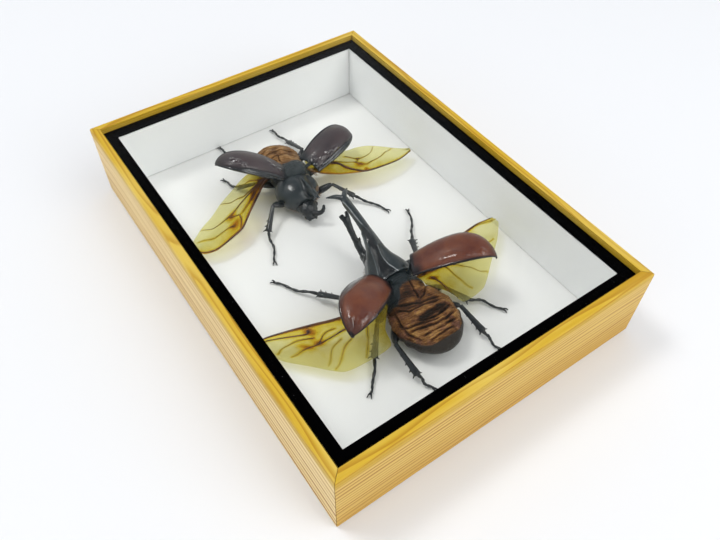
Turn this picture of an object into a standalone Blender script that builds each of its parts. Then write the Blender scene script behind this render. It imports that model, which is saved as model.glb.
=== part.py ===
"""A glazed pine display box with two large horned beetles set with spread wings.

Metres, +Z up. The box lies on its back, its glass facing up, and the origin is the
middle of its underside. Each beetle is modelled in its own frame, in millimetres:
its waist at the origin, its head towards +Y, its right side at +X, the card at z = 0.
"""

import math

import bmesh
import bpy
from mathutils import Matrix, Vector

MM = 0.001

# The case, in millimetres.
CASE_LENGTH = 178.0  # seven inches, along Y
CASE_WIDTH = 128.0  # five inches, along X
CASE_HEIGHT = 32.8
RIM_WIDTH = 3.3  # the pine seen round the glass
WALL = 7.0  # a rail's full thickness
ARRIS = 0.9  # the worn outer edge along the top
GLASS = 2.0
MAT = 0.7  # the black border's card
MAT_WIDTH = 4.7
LINER = 0.7
CARD = 0.75
PANEL = 3.7
PANEL_STEP = 3.0  # how far the back panel reaches under the rails
GAP = 0.3  # between pieces that touch
MITRE_GAP = 0.1

GLASS_BOTTOM = CASE_HEIGHT - GLASS
LEDGE = GLASS_BOTTOM - 2 * GAP - MAT
SHOULDER = PANEL + GAP
FLOOR = SHOULDER + CARD
WINDOW = RIM_WIDTH + MAT_WIDTH  # from the outer face to the black border's inner edge
CLEAR = 0.35  # what a beetle's pieces keep between them
FOLD = 0.94  # a fold's width beside the plates of an abdomen
UNDERSIDE = 0.88  # how much shallower a body's lower half is

# The two beetles, in millimetres and degrees, each in its own frame.
LARGE = {
    "name": "large_beetle",
    "place": (-0.5, -33.0),
    "turn": 0.0,
    "abdomen": {"centre": (0.2, -16.4, 7.1), "half": (12.4, 15.0, 7.0), "plated": True},
    "thorax": {"centre": (0.0, -3.2, 7.0), "half": (9.4, 7.6, 6.4)},
    "scutellum": {"centre": (0.0, -0.9, 12.9), "half": (3.4, 3.4, 1.5)},
    "pronotum": {"centre": (0.7, 8.2, 7.6), "half": (9.1, 7.8, 7.0)},
    "thorax_horn": [
        (0.4, 6.3, 9.3, 5.8),
        (0.1, 9.4, 13.2, 5.4),
        (0.0, 12.4, 16.0, 4.4),
        (0.1, 16.2, 17.9, 3.1),
        (0.2, 20.4, 19.3, 2.2),
        (0.5, 29.6, 21.6, 1.6),
        (0.7, 35.4, 22.8, 1.8),
        (0.8, 37.6, 23.1, 1.3),
    ],
    "thorax_prong": {"reach": 5.0, "forward": 3.6, "drop": 1.4, "radius": 1.15},
    "head": {"centre": (0.2, 18.6, 5.2), "half": (4.4, 5.2, 3.6)},
    "head_horn": [
        (-0.2, 19.8, 5.1, 2.6),
        (-0.5, 23.8, 6.6, 2.3),
        (-0.6, 27.4, 9.6, 1.8),
        (-0.5, 31.4, 13.2, 1.5),
        (-0.2, 34.6, 15.3, 1.3),
    ],
    "head_prong": {"reach": 1.5, "forward": 1.3, "drop": -0.6, "radius": 0.8},
    "wing_case": {"length": 29.4, "width": 11.6, "height": 8.2},
    "wing_case_left": {"pivot": (-6.6, 3.0, 13.4), "yaw": 55.0, "lift": 23.0, "roll": 43.0},
    "wing_case_right": {"pivot": (7.3, 1.5, 15.1), "yaw": 59.0, "lift": 19.0, "roll": 29.0},
    "wing_left": {
        "leading": [(-7.5, -1.5, 9.8), (-17.0, -1.8, 10.4), (-26.0, -0.8, 10.4), (-35.2, 3.1, 9.2),
                    (-41.1, 5.4, 8.4), (-49.9, 8.9, 6.5), (-53.6, 9.2, 6.0)],
        "trailing": [(-8.5, -6.0, 9.6), (-14.6, -13.0, 9.0), (-16.8, -19.4, 8.0), (-25.3, -19.3, 6.5),
                     (-34.9, -17.4, 5.5), (-42.9, -9.1, 5.5), (-48.7, -2.5, 5.0), (-53.2, 4.0, 5.5)],
    },
    "wing_right": {
        "leading": [(7.5, -1.5, 10.4), (20.0, 1.4, 10.6), (30.0, 5.2, 9.4), (36.7, 7.0, 8.0),
                    (45.1, 8.3, 7.2), (52.6, 7.6, 7.0)],
        "trailing": [(8.5, -6.0, 9.8), (14.6, -13.0, 8.2), (16.8, -18.4, 6.6), (27.5, -16.9, 5.6),
                     (38.8, -8.5, 5.8), (47.5, -1.9, 6.0), (53.4, 3.8, 6.4)],
    },
    "legs": {
        "front_leg_left": [(-7.0, 8.4, 4.6), (-17.3, 5.4, 7.6), (-23.6, 16.6, 3.5), (-28.3, 24.3, 1.4),
                           (-33.2, 32.2, 0.8)],
        "front_leg_right": [(7.0, 8.4, 4.6), (14.8, 6.4, 7.8), (21.0, 18.0, 4.0), (27.0, 25.1, 2.0),
                            (31.2, 33.6, 0.8)],
        "middle_leg_left": [(-6.5, -3.0, 3.6), (-14.6, -8.2, 6.8), (-22.3, -17.4, 2.5), (-27.1, -24.2, 1.2),
                            (-30.6, -27.0, 0.8)],
        "middle_leg_right": [(6.5, -3.0, 3.6), (15.2, -8.4, 6.2), (20.8, -16.7, 3.0), (26.0, -19.7, 1.5),
                             (29.8, -26.1, 0.8)],
        "hind_leg_left": [(-7.5, -10.0, 3.0), (-14.6, -18.6, 7.0), (-14.1, -31.4, 3.0), (-13.2, -34.6, 1.6),
                          (-12.0, -37.6, 0.8)],
        "hind_leg_right": [(7.5, -10.0, 3.0), (14.6, -18.6, 6.6), (16.2, -30.4, 2.8), (16.3, -33.4, 1.7),
                           (16.8, -37.6, 0.8)],
    },
    "leg_radius": 1.55,
}

SMALL = {
    "name": "small_beetle",
    "place": (-1.8, 38.5),
    "turn": 172.0,
    "abdomen": {"centre": (1.6, -12.0, 5.9), "half": (10.3, 11.2, 5.5), "plated": True},
    "thorax": {"centre": (0.0, -2.4, 6.8), "half": (8.6, 6.8, 6.2)},
    "scutellum": {"centre": (0.2, -0.2, 12.6), "half": (3.0, 3.2, 1.4)},
    "pronotum": {"centre": (1.0, 8.8, 6.9), "half": (8.9, 7.6, 6.4)},
    "thorax_horn": [
        (1.0, 10.0, 9.0, 3.4),
        (0.8, 14.0, 10.8, 2.4),
        (0.5, 17.4, 11.6, 1.5),
        (0.4, 19.8, 11.6, 1.1),
    ],
    "thorax_prong": {"reach": 1.3, "forward": 1.2, "drop": 0.4, "radius": 0.7},
    "head": {"centre": (0.4, 17.4, 5.0), "half": (4.0, 4.8, 3.4)},
    "head_horn": [
        (0.2, 18.4, 5.4, 1.9),
        (-0.2, 21.4, 6.2, 1.5),
        (-1.2, 23.2, 7.4, 1.1),
        (-2.8, 23.6, 8.6, 0.9),
        (-4.0, 22.9, 9.8, 0.65),
    ],
    "head_prong": {"reach": 0.5, "forward": -0.9, "drop": -0.9, "radius": 0.5},
    "wing_case": {"length": 27.0, "width": 10.6, "height": 7.4},
    "wing_case_left": {"pivot": (-8.2, 0.6, 11.6), "yaw": 62.0, "lift": 7.0, "roll": 23.0},
    "wing_case_right": {"pivot": (3.6, 0.4, 12.2), "yaw": 79.0, "lift": 29.0, "roll": 34.0},
    "wing_left": {
        "leading": [(-7.0, 0.6, 9.6), (-12.0, 5.2, 9.2), (-19.0, 8.2, 8.6), (-26.7, 10.6, 8.6),
                    (-32.3, 11.1, 8.0), (-40.9, 10.0, 7.0), (-48.0, 8.1, 6.0), (-54.3, 4.9, 5.0)],
        "trailing": [(-8.0, -5.0, 9.4), (-18.0, -6.0, 9.4), (-26.9, -3.2, 9.4), (-32.2, -4.3, 8.5),
                     (-38.0, -3.9, 7.5), (-44.9, -1.2, 6.5), (-51.5, 1.9, 5.5), (-54.0, 3.2, 5.0)],
    },
    "wing_right": {
        "leading": [(7.0, -0.6, 9.8), (11.8, 0.2, 10.2), (17.6, 6.6, 9.8), (23.0, 12.4, 9.0),
                    (28.4, 18.5, 8.0), (34.5, 21.0, 7.0), (40.7, 22.9, 6.0), (45.4, 21.9, 5.0),
                    (48.6, 19.0, 4.8)],
        "trailing": [(7.6, -5.0, 9.4), (15.4, -8.8, 8.8), (19.7, -7.3, 8.0), (24.3, -4.7, 7.0),
                     (31.4, -0.1, 6.0), (37.5, 4.7, 5.0), (43.1, 8.3, 4.5), (49.0, 14.6, 4.6)],
    },
    "legs": {
        "front_leg_left": [(-5.6, 9.6, 4.2), (-13.2, 11.2, 8.0), (-20.7, 17.0, 3.0), (-25.9, 22.3, 1.4),
                           (-29.9, 28.4, 0.8)],
        "front_leg_right": [(6.6, 9.6, 4.2), (13.2, 11.6, 7.6), (19.0, 20.0, 3.0), (20.0, 26.4, 1.4),
                            (22.2, 33.8, 0.8)],
        "middle_leg_left": [(-6.0, -2.6, 3.4), (-14.2, -2.8, 5.8), (-21.6, -10.2, 2.2), (-25.2, -14.6, 1.2),
                            (-27.8, -17.6, 0.8)],
        "middle_leg_right": [(6.0, -2.6, 3.4), (14.4, -5.4, 5.6), (20.8, -10.2, 1.8), (22.6, -14.0, 1.1),
                             (24.4, -17.9, 0.8)],
        "hind_leg_left": [(-5.4, -8.6, 3.0), (-11.4, -15.0, 7.0), (-9.2, -27.0, 3.0), (-8.0, -34.4, 1.4),
                          (-6.8, -39.4, 0.8)],
        "hind_leg_right": [(6.8, -8.6, 3.0), (14.0, -17.4, 6.4), (15.9, -27.6, 2.8), (17.6, -34.8, 1.4),
                           (18.8, -38.5, 0.8)],
    },
    "leg_radius": 1.35,
}

COLOURS = {
    "pine": ((0.68, 0.47, 0.21), 0.55),
    "glass": ((0.92, 0.95, 0.95), 0.05),
    "black card": ((0.008, 0.008, 0.009), 0.35),
    "white card": ((0.78, 0.80, 0.78), 0.8),
    "fibreboard": ((0.33, 0.22, 0.13), 0.85),
    "black cuticle": ((0.018, 0.016, 0.017), 0.25),
    "chestnut cuticle": ((0.13, 0.035, 0.022), 0.2),
    "plum cuticle": ((0.055, 0.026, 0.028), 0.22),
    "dried abdomen": ((0.16, 0.07, 0.035), 0.5),
    "wing membrane": ((0.62, 0.49, 0.14), 0.3),
}


def new_collection(name):
    collection = bpy.data.collections.new(name)
    bpy.context.scene.collection.children.link(collection)
    return collection


def material(name):
    """The Principled material of one finish."""
    found = bpy.data.materials.get(name)
    if found:
        return found
    colour, roughness = COLOURS[name]
    made = bpy.data.materials.new(name)
    made.use_nodes = True
    shader = made.node_tree.nodes["Principled BSDF"]
    shader.inputs["Base Color"].default_value = (*colour, 1.0)
    shader.inputs["Roughness"].default_value = roughness
    shader.inputs["Metallic"].default_value = 0.0
    return made


def add_object(name, bm, finish, parent=None):
    """A named node of the case or of a beetle, from a bmesh in metres."""
    mesh = bpy.data.meshes.new(name)
    bm.to_mesh(mesh)
    bm.free()
    mesh.materials.append(material(finish))
    mesh.shade_smooth()
    mesh.set_sharp_from_angle(angle=math.radians(40))
    node = bpy.data.objects.new(name, mesh)
    parts.objects.link(node)
    node.parent = parent
    return node


def add_helper(name, bm, parent=None):
    """A shape that a Boolean joins or cuts with, left out of the object."""
    mesh = bpy.data.meshes.new(name)
    bm.to_mesh(mesh)
    bm.free()
    helper = bpy.data.objects.new(name, mesh)
    cutters.objects.link(helper)
    helper.parent = parent
    helper.hide_render = True
    helper.display_type = "WIRE"
    return helper


def boolean(node, helper, operation):
    modifier = node.modifiers.new(helper.name, "BOOLEAN")
    modifier.operation = operation
    modifier.object = helper


def box(low, high):
    """A bmesh box between two corners given in millimetres."""
    low, high = Vector(low) * MM, Vector(high) * MM
    bm = bmesh.new()
    size = Matrix.Diagonal((*(high - low), 1.0))
    bmesh.ops.create_cube(bm, size=1.0, matrix=Matrix.Translation((low + high) / 2) @ size)
    return bm


# ---- the case ----


def rail_profile():
    """Corners of a rail's section, as (distance in from the outer face, height)."""
    turns = 3
    top_arris = [
        (ARRIS * (1 - math.cos(a)), CASE_HEIGHT - ARRIS * (1 - math.sin(a)))
        for a in (math.pi / 2 * k / turns for k in range(turns + 1))
    ]
    return [
        (ARRIS / 2, 0.0),
        (0.0, ARRIS / 2),
        *top_arris,
        (RIM_WIDTH, CASE_HEIGHT),
        (RIM_WIDTH, LEDGE),
        (WALL, LEDGE),
        (WALL, SHOULDER),
        (WALL - PANEL_STEP, SHOULDER),
        (WALL - PANEL_STEP, 0.0),
    ]


def add_rail(name, side, along_y):
    """One mitred rail: its section, extruded from one mitre to the other."""
    half_run, half_across = (CASE_LENGTH, CASE_WIDTH) if along_y else (CASE_WIDTH, CASE_LENGTH)
    half_run, half_across = half_run / 2, half_across / 2
    bm = bmesh.new()
    corners = []
    for inset, height in rail_profile():
        run = half_run - inset - MITRE_GAP
        across = side * (half_across - inset)
        corner = (across, run, height) if along_y else (run, across, height)
        corners.append(bm.verts.new(Vector(corner) * MM))
    end = bm.faces.new(corners)
    made = bmesh.ops.extrude_face_region(bm, geom=[end])
    run_axis = 1 if along_y else 0
    for vert in (v for v in made["geom"] if isinstance(v, bmesh.types.BMVert)):
        vert.co[run_axis] *= -1
    bmesh.ops.recalc_face_normals(bm, faces=bm.faces)
    return add_object(name, bm, "pine")


def build_case():
    half_width, half_length = CASE_WIDTH / 2, CASE_LENGTH / 2
    add_rail("rail_left", -1, True)
    add_rail("rail_right", 1, True)
    add_rail("rail_front", -1, False)
    add_rail("rail_back", 1, False)

    pane_x, pane_y = half_width - RIM_WIDTH - GAP, half_length - RIM_WIDTH - GAP
    pane = box((-pane_x, -pane_y, GLASS_BOTTOM), (pane_x, pane_y, CASE_HEIGHT - 0.1))
    add_object("glass_pane", pane, "glass")

    mat_low, mat_high = LEDGE + GAP, LEDGE + GAP + MAT
    mat = box((-pane_x, -pane_y, mat_low), (pane_x, pane_y, mat_high))
    mat = add_object("black_border", mat, "black card")
    window_x, window_y = half_width - WINDOW, half_length - WINDOW
    opening = box((-window_x, -window_y, mat_low - 1), (window_x, window_y, mat_high + 1))
    boolean(mat, add_helper("border_opening", opening), "DIFFERENCE")

    panel_x, panel_y = (half - WALL + PANEL_STEP - GAP for half in (half_width, half_length))
    panel = box((-panel_x, -panel_y, 0.0), (panel_x, panel_y, PANEL))
    add_object("back_panel", panel, "fibreboard")

    card_x, card_y = half_width - WALL - GAP, half_length - WALL - GAP
    card = box((-card_x, -card_y, SHOULDER), (card_x, card_y, FLOOR))
    add_object("floor_card", card, "white card")

    for name, side in (("liner_left", -1), ("liner_right", 1)):
        inner, outer = sorted((side * card_x, side * (card_x - LINER)))
        strip = box((inner, -card_y, FLOOR + GAP), (outer, card_y, LEDGE))
        add_object(name, strip, "white card")
    for name, side in (("liner_front", -1), ("liner_back", 1)):
        inner, outer = sorted((side * card_y, side * (card_y - LINER)))
        end_x = card_x - LINER - GAP
        strip = box((-end_x, inner, FLOOR + GAP), (end_x, outer, LEDGE))
        add_object(name, strip, "white card")


# ---- the beetles ----


def ellipsoid(shape, around=16, rings=12, grow=0.0):
    """A lump with its poles fore and aft, ringed with folds where it is plated."""
    centre = Vector(shape["centre"])
    half = Vector(shape["half"]) + Vector((grow, grow, grow))
    bm = bmesh.new()
    bmesh.ops.create_uvsphere(bm, u_segments=around, v_segments=rings, radius=1.0)
    bmesh.ops.rotate(bm, verts=bm.verts, matrix=Matrix.Rotation(math.pi / 2, 3, "X"))
    for vert in bm.verts:
        ring = round(math.acos(max(-1.0, min(1.0, vert.co.y))) / math.pi * rings)
        swell = FOLD if shape.get("plated") and ring % 2 else 1.0
        flat = UNDERSIDE if vert.co.z < 0 else 1.0
        spread = Vector((vert.co.x * swell, vert.co.y, vert.co.z * swell * flat))
        vert.co = (centre + spread * half) * MM
    return bm


def tube(name, path, resolution=2):
    """A closed tapering tube along (x, y, z, radius) points, as a helper mesh."""
    curve = bpy.data.curves.new(name, "CURVE")
    curve.dimensions = "3D"
    curve.bevel_depth = MM
    curve.bevel_resolution = resolution
    curve.use_fill_caps = True
    spline = curve.splines.new("POLY")
    spline.points.add(len(path) - 1)
    for point, (x, y, z, radius) in zip(spline.points, path):
        point.co = (x * MM, y * MM, z * MM, 1.0)
        point.radius = radius
    drawn = bpy.data.objects.new(name, curve)
    cutters.objects.link(drawn)
    graph = bpy.context.evaluated_depsgraph_get()
    mesh = bpy.data.meshes.new_from_object(drawn.evaluated_get(graph))
    bm = bmesh.new()
    bm.from_mesh(mesh)
    bmesh.ops.remove_doubles(bm, verts=bm.verts, dist=1e-6)
    bmesh.ops.recalc_face_normals(bm, faces=bm.faces)
    bpy.data.objects.remove(drawn)
    bpy.data.meshes.remove(mesh)
    return bm


def spike(foot, tip, radius, sides=5):
    """A spine, claw or prong: a cone from a foot to a tip, in millimetres."""
    foot, tip = Vector(foot), Vector(tip)
    along = tip - foot
    turn = along.to_track_quat("Z", "Y").to_matrix().to_4x4()
    place = Matrix.Translation((foot + tip) / 2 * MM) @ turn
    bm = bmesh.new()
    bmesh.ops.create_cone(
        bm, cap_ends=True, segments=sides, radius1=radius * MM, radius2=radius * 0.12 * MM,
        depth=along.length * MM, matrix=place,
    )
    return bm


def add_fused(name, base, joined, cut_by, finish, empty):
    """One node: a base with shapes joined on and its neighbours' room cut away."""
    node = add_object(name, base, finish, empty)
    for number, shape in enumerate(joined):
        boolean(node, add_helper(f"{name}_joined_{number}", shape, empty), "UNION")
    for helper in cut_by:
        boolean(node, helper, "DIFFERENCE")
    return node


def forked(path, prong):
    """The two prongs at the end of a horn."""
    x, y, z, _ = path[-1]
    prongs = []
    for side in (-1, 1):
        foot = (x + side * 0.25, y - 0.9 - side * 0.1, z)
        tip = (x + side * prong["reach"], y + prong["forward"], z - prong["drop"])
        prongs.append(spike(foot, tip, prong["radius"], 6))
    return prongs


def add_body(beetle, empty):
    """Thorax, scutellum and abdomen, and the room that their neighbours leave them."""
    name = f"{beetle['name']}_body"
    joined = [ellipsoid(beetle["thorax"], 14, 10), ellipsoid(beetle["scutellum"], 10, 6)]
    add_fused(name, ellipsoid(beetle["abdomen"], 16, 14), joined, [], "dried abdomen", empty)
    room = {}
    for key, around, rings in (("abdomen", 16, 14), ("thorax", 14, 10), ("scutellum", 10, 6)):
        smooth = {**beetle[key], "plated": False}
        room[key] = add_helper(f"{name}_room_{key}", ellipsoid(smooth, around, rings, CLEAR), empty)
    return room


def add_pronotum(beetle, empty, body_room):
    name = f"{beetle['name']}_pronotum"
    joined = [tube(name + "_horn", beetle["thorax_horn"])]
    joined += forked(beetle["thorax_horn"], beetle["thorax_prong"])
    add_fused(name, ellipsoid(beetle["pronotum"], 16, 12), joined, body_room, "black cuticle", empty)
    return add_helper(name + "_room", ellipsoid(beetle["pronotum"], 16, 12, CLEAR), empty)


def add_head(beetle, empty, rooms):
    name = f"{beetle['name']}_head"
    x, y, z = beetle["head"]["centre"]
    wide = beetle["head"]["half"][0]
    joined = [tube(name + "_horn", beetle["head_horn"])]
    joined += forked(beetle["head_horn"], beetle["head_prong"])
    for side in (-1, 1):
        eye = {"centre": (x + side * (wide - 0.3), y + 0.6, z + 0.4), "half": (1.1, 1.2, 1.2)}
        joined.append(ellipsoid(eye, 8, 6))
    add_fused(name, ellipsoid(beetle["head"], 12, 8), joined, rooms, "black cuticle", empty)


def wing_case_point(shape, along, round_):
    """A point of a closed wing case's outer skin: along 0 to 1, round_ 0 at the seam to 1."""
    widest, highest = 0.58, 0.45
    if along < widest:
        wide = 0.72 + 0.28 * math.sin(math.pi / 2 * along / widest)
    else:
        wide = math.sqrt(max(0.0, 1 - ((along - widest) / (1 - widest)) ** 2.2))
    if along < highest:
        high = 0.72 + 0.28 * math.sin(math.pi / 2 * along / highest)
    else:
        high = math.sqrt(max(0.0, 1 - ((along - highest) / (1 - highest)) ** 2.4))
    angle = math.pi / 2 * round_
    return Vector((
        shape["width"] * (max(wide, 0.03) * math.sin(angle) ** 0.9 - 0.45),
        -shape["length"] * along,
        shape["height"] * (max(high, 0.03) * math.cos(angle) - 0.4),
    ))


def add_wing_case(beetle, side_name, empty, rooms):
    """A quarter shell, opened from its closed place by a yaw, a lift and a roll."""
    key = f"wing_case_{side_name}"
    shape, opened = beetle["wing_case"], beetle[key]
    side = -1 if side_name == "left" else 1
    turn = (
        Matrix.Rotation(math.radians(opened["yaw"]), 3, "Z")
        @ Matrix.Rotation(-math.radians(opened["lift"]), 3, "X")
        @ Matrix.Rotation(-math.radians(opened["roll"]), 3, "Y")
    )
    bm = bmesh.new()
    bmesh.ops.create_grid(bm, x_segments=11, y_segments=6, size=1.0)
    for vert in bm.verts:
        opened_point = turn @ wing_case_point(shape, (vert.co.x + 1) / 2, (vert.co.y + 1) / 2)
        opened_point.x *= side
        vert.co = (Vector(opened["pivot"]) + opened_point) * MM
    if side > 0:
        bmesh.ops.reverse_faces(bm, faces=bm.faces)
    finish = "chestnut cuticle" if beetle is LARGE else "plum cuticle"
    node = add_object(f"{beetle['name']}_{key}", bm, finish, empty)
    wall = node.modifiers.new("wall", "SOLIDIFY")
    wall.thickness = 0.9 * MM
    wall.offset = -1.0
    for helper in rooms:
        boolean(node, helper, "DIFFERENCE")


def along_edge(points, share):
    """The point a share of the way through a list of points, straight between them."""
    place = share * (len(points) - 1)
    first = min(int(place), len(points) - 2)
    return Vector(points[first]).lerp(Vector(points[first + 1]), place - first)


def add_wing(beetle, side_name, empty, rooms):
    """A thin hind wing between its leading and trailing edges, thickest in front."""
    key = f"wing_{side_name}"
    outline = beetle[key]
    side = -1 if side_name == "left" else 1
    bm = bmesh.new()
    bmesh.ops.create_grid(bm, x_segments=12, y_segments=5, size=1.0)
    fore = {}
    for vert in bm.verts:
        out, back = (vert.co.x + 1) / 2, (1 - vert.co.y) / 2
        point = along_edge(outline["leading"], out).lerp(along_edge(outline["trailing"], out), back)
        point.z += 0.9 * math.sin(math.pi * back)
        vert.co = point * MM
        fore[vert.index] = max(0.0, 1 - 3 * back)
    if side < 0:
        bmesh.ops.reverse_faces(bm, faces=bm.faces)
    node = add_object(f"{beetle['name']}_hind_{key}", bm, "wing membrane", empty)
    front = node.vertex_groups.new(name="leading vein")
    for index, weight in fore.items():
        front.add([index], weight, "REPLACE")
    wall = node.modifiers.new("membrane", "SOLIDIFY")
    wall.thickness = 0.9 * MM
    wall.offset = 0.0
    wall.vertex_group = front.name
    wall.thickness_vertex_group = 0.4
    for helper in rooms:
        boolean(node, helper, "DIFFERENCE")


def add_leg(beetle, key, empty, rooms):
    """Thigh, spined shin and foot of one leg, with its two claws."""
    root, knee, ankle, foot, toe = (Vector(point) for point in beetle["legs"][key])
    thick = beetle["leg_radius"]
    shin = ankle - knee
    path = [
        (*root, thick * 0.8),
        (*root.lerp(knee, 0.45), thick),
        (*root.lerp(knee, 0.85), thick * 0.8),
        (*knee, thick * 0.6),
        (*knee.lerp(ankle, 0.2), thick * 0.45),
        (*knee.lerp(ankle, 0.92), thick * 0.72),
        (*ankle, thick * 0.4),
        (*ankle.lerp(foot, 0.5), thick * 0.36),
        (*foot, thick * 0.26),
        (*foot.lerp(toe, 0.6), thick * 0.24),
        (*toe, thick * 0.3),
    ]
    sideways = shin.cross(Vector((0, 0, 1))).normalized()
    joined = []
    for share, side in ((0.45, 1), (0.7, 1), (0.92, 1), (0.92, -1)):
        start = knee.lerp(ankle, share)
        tip = start + sideways * side * thick * 1.7 + shin.normalized() * 0.8
        joined.append(spike(start, tip, thick * 0.4, 4))
    onward = (toe - foot).normalized()
    across = onward.cross(Vector((0, 0, 1))).normalized()
    for side in (-1, 1):
        joined.append(spike(toe - onward * 0.2, toe + onward * 1.2 + across * side * 1.2, thick * 0.22, 4))
    name = f"{beetle['name']}_{key}"
    add_fused(name, tube(name, path, 1), joined, rooms, "black cuticle", empty)


def build_beetle(beetle):
    empty = bpy.data.objects.new(f"{beetle['name']}_frame", None)
    parts.objects.link(empty)
    empty.location = Vector((*beetle["place"], FLOOR)) * MM
    empty.rotation_euler = (0.0, 0.0, math.radians(beetle["turn"]))
    room = add_body(beetle, empty)
    room["pronotum"] = add_pronotum(beetle, empty, [room["thorax"], room["scutellum"]])
    add_head(beetle, empty, [room["pronotum"]])
    for side_name in ("left", "right"):
        add_wing_case(beetle, side_name, empty, [room["thorax"], room["scutellum"], room["pronotum"]])
        add_wing(beetle, side_name, empty, [room["thorax"]])
    beside = {"front": ["pronotum"], "middle": ["thorax", "abdomen"], "hind": ["abdomen"]}
    for key in beetle["legs"]:
        pair = key.split("_")[0]
        add_leg(beetle, key, empty, [room[lump] for lump in beside[pair]])


for old in list(bpy.data.objects):
    bpy.data.objects.remove(old)
parts = new_collection("beetle_display_box")
cutters = new_collection("cutters")
build_case()
for beetle in (LARGE, SMALL):
    build_beetle(beetle)
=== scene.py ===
import math

import bmesh
import bpy
from mathutils import Matrix, Vector, noise


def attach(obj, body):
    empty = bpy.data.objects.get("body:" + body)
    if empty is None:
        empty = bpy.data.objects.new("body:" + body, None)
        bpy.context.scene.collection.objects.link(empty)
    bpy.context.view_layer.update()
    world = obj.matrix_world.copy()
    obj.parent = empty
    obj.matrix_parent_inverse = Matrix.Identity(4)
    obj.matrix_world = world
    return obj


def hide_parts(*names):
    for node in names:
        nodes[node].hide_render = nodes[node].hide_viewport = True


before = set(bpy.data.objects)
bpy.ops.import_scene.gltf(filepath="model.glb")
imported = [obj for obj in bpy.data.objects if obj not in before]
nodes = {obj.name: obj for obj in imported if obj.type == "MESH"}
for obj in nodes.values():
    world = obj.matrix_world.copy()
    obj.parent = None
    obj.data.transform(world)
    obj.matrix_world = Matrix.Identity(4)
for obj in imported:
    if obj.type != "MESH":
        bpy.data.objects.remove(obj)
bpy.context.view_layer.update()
mm = 0.001


def addObject(name, data):
    made = bpy.data.objects.new(name, data)
    bpy.context.scene.collection.objects.link(made)
    return made


def meshOf(bm, name):
    mesh = bpy.data.meshes.new(name)
    bm.to_mesh(mesh)
    bm.free()
    return mesh


# camera, matched to the photo
cameraView = {
    "place": (-0.1001, -0.1510, 0.2097),
    "forward": (0.3656, 0.5187, -0.7728),
    "up": (0.4367, 0.6377, 0.6346),
    "lens": 34.37,  # mm
    "sensor": 36.0,  # mm
    "nearest": 0.01,  # metres
}


def addCamera():
    forward = Vector(cameraView["forward"]).normalized()
    up = Vector(cameraView["up"])
    up = (up - forward * up.dot(forward)).normalized()
    turn = Matrix((forward.cross(up), up, -forward)).transposed()
    lensData = bpy.data.cameras.new("camera")
    lensData.lens = cameraView["lens"]
    lensData.sensor_width = cameraView["sensor"]
    lensData.clip_start = cameraView["nearest"]
    camera = addObject("camera", lensData)
    camera.matrix_world = Matrix.Translation(cameraView["place"]) @ turn.to_4x4()
    bpy.context.scene.camera = camera


addCamera()
print("camera placed")

# light and floor
studio = {
    "floorRadius": 1.1,  # metres
    "floorSides": 96,
    "floorDrop": 0.0002,  # metres below the box
    "floorGlow": (0.45, 1.0, 0.16),  # from and to this far out the floor brightens, and by how much
    "floorColour": (0.82, 0.83, 0.845),
    # height of the direction, colour: a bright room with a dim ceiling
    "sky": (
        (0.0, (0.98, 1.0, 1.03)), (0.35, (0.84, 0.86, 0.90)),
        (0.75, (0.36, 0.38, 0.41)), (1.0, (0.20, 0.21, 0.24)),
    ),
    # name: place, aimed at, width, depth, watts, whether gloss mirrors it
    "lamps": {
        "window": ((-0.40, 0.50, 1.27), (0.0, 0.0, 0.0), 0.44, 0.34, 6.0, True),
        "frontFill": ((0.35, -0.85, 0.50), (0.0, 0.0, 0.02), 0.60, 0.45, 2.2, True),
        "overhead": ((0.45, -0.75, 1.15), (0.0, -0.03, 0.0), 1.0, 0.7, 4.4, True),
        "ceiling": ((0.0, 0.0, 1.30), (0.0, 0.0, 0.0), 1.1, 1.1, 3.8, False),
        "leftFill": ((-1.15, -0.20, 0.40), (0.0, 0.0, 0.01), 0.6, 0.6, 1.1, False),
    },
    "lampColour": (1.0, 0.99, 0.975),
}


def addNode(tree, kind, sockets=(), **settings):
    made = tree.nodes.new(kind)
    for key, value in settings.items():
        setattr(made, key, value)
    for key, value in sockets.items() if isinstance(sockets, dict) else enumerate(sockets):
        if isinstance(value, bpy.types.NodeSocket):
            tree.links.new(value, made.inputs[key])
        elif value is not None:
            made.inputs[key].default_value = value
    return made


def newMaterial(name, roughness, specular=0.5):
    material = bpy.data.materials.new(name)
    material.use_nodes = True
    tree = material.node_tree
    shader = tree.nodes["Principled BSDF"]
    shader.inputs["Roughness"].default_value = roughness
    shader.inputs["Specular IOR Level"].default_value = specular
    return material, tree, shader


def wire(tree, shader, sources):
    for key, source in sources.items():
        tree.links.new(source, shader.inputs[key])


def calc(tree, operation, *values):
    return addNode(tree, "ShaderNodeMath", values, operation=operation).outputs[0]


def times(tree, first, second):
    return calc(tree, "MULTIPLY", first, second)


# a base plus so much of a factor
def plusPart(tree, base, factor, amount):
    return calc(tree, "ADD", base, times(tree, factor, amount))


# a base that a factor of 0 to 1 swings up and down
def plusSwing(tree, base, factor, amount):
    return plusPart(tree, base, calc(tree, "SUBTRACT", factor, 0.5), amount)


def mapRange(tree, value, low, high, top=1.0):
    return addNode(tree, "ShaderNodeMapRange", [value, low, high, 0.0, top]).outputs[0]


def ramp(tree, factor, stops):
    made = addNode(tree, "ShaderNodeValToRGB", [factor])
    band = made.color_ramp
    while len(band.elements) < len(stops):
        band.elements.new(0.5)
    for element, (position, colour) in zip(band.elements, stops):
        element.position = position
        element.color = (*colour, 1.0)
    return made.outputs["Color"]


def greyBand(tree, factor, stops):
    return ramp(tree, factor, [(position, (level,) * 3) for position, level in stops])


def greyRamp(tree, factor, low, high):
    return greyBand(tree, factor, ((low, 0.0), (high, 1.0)))


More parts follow.
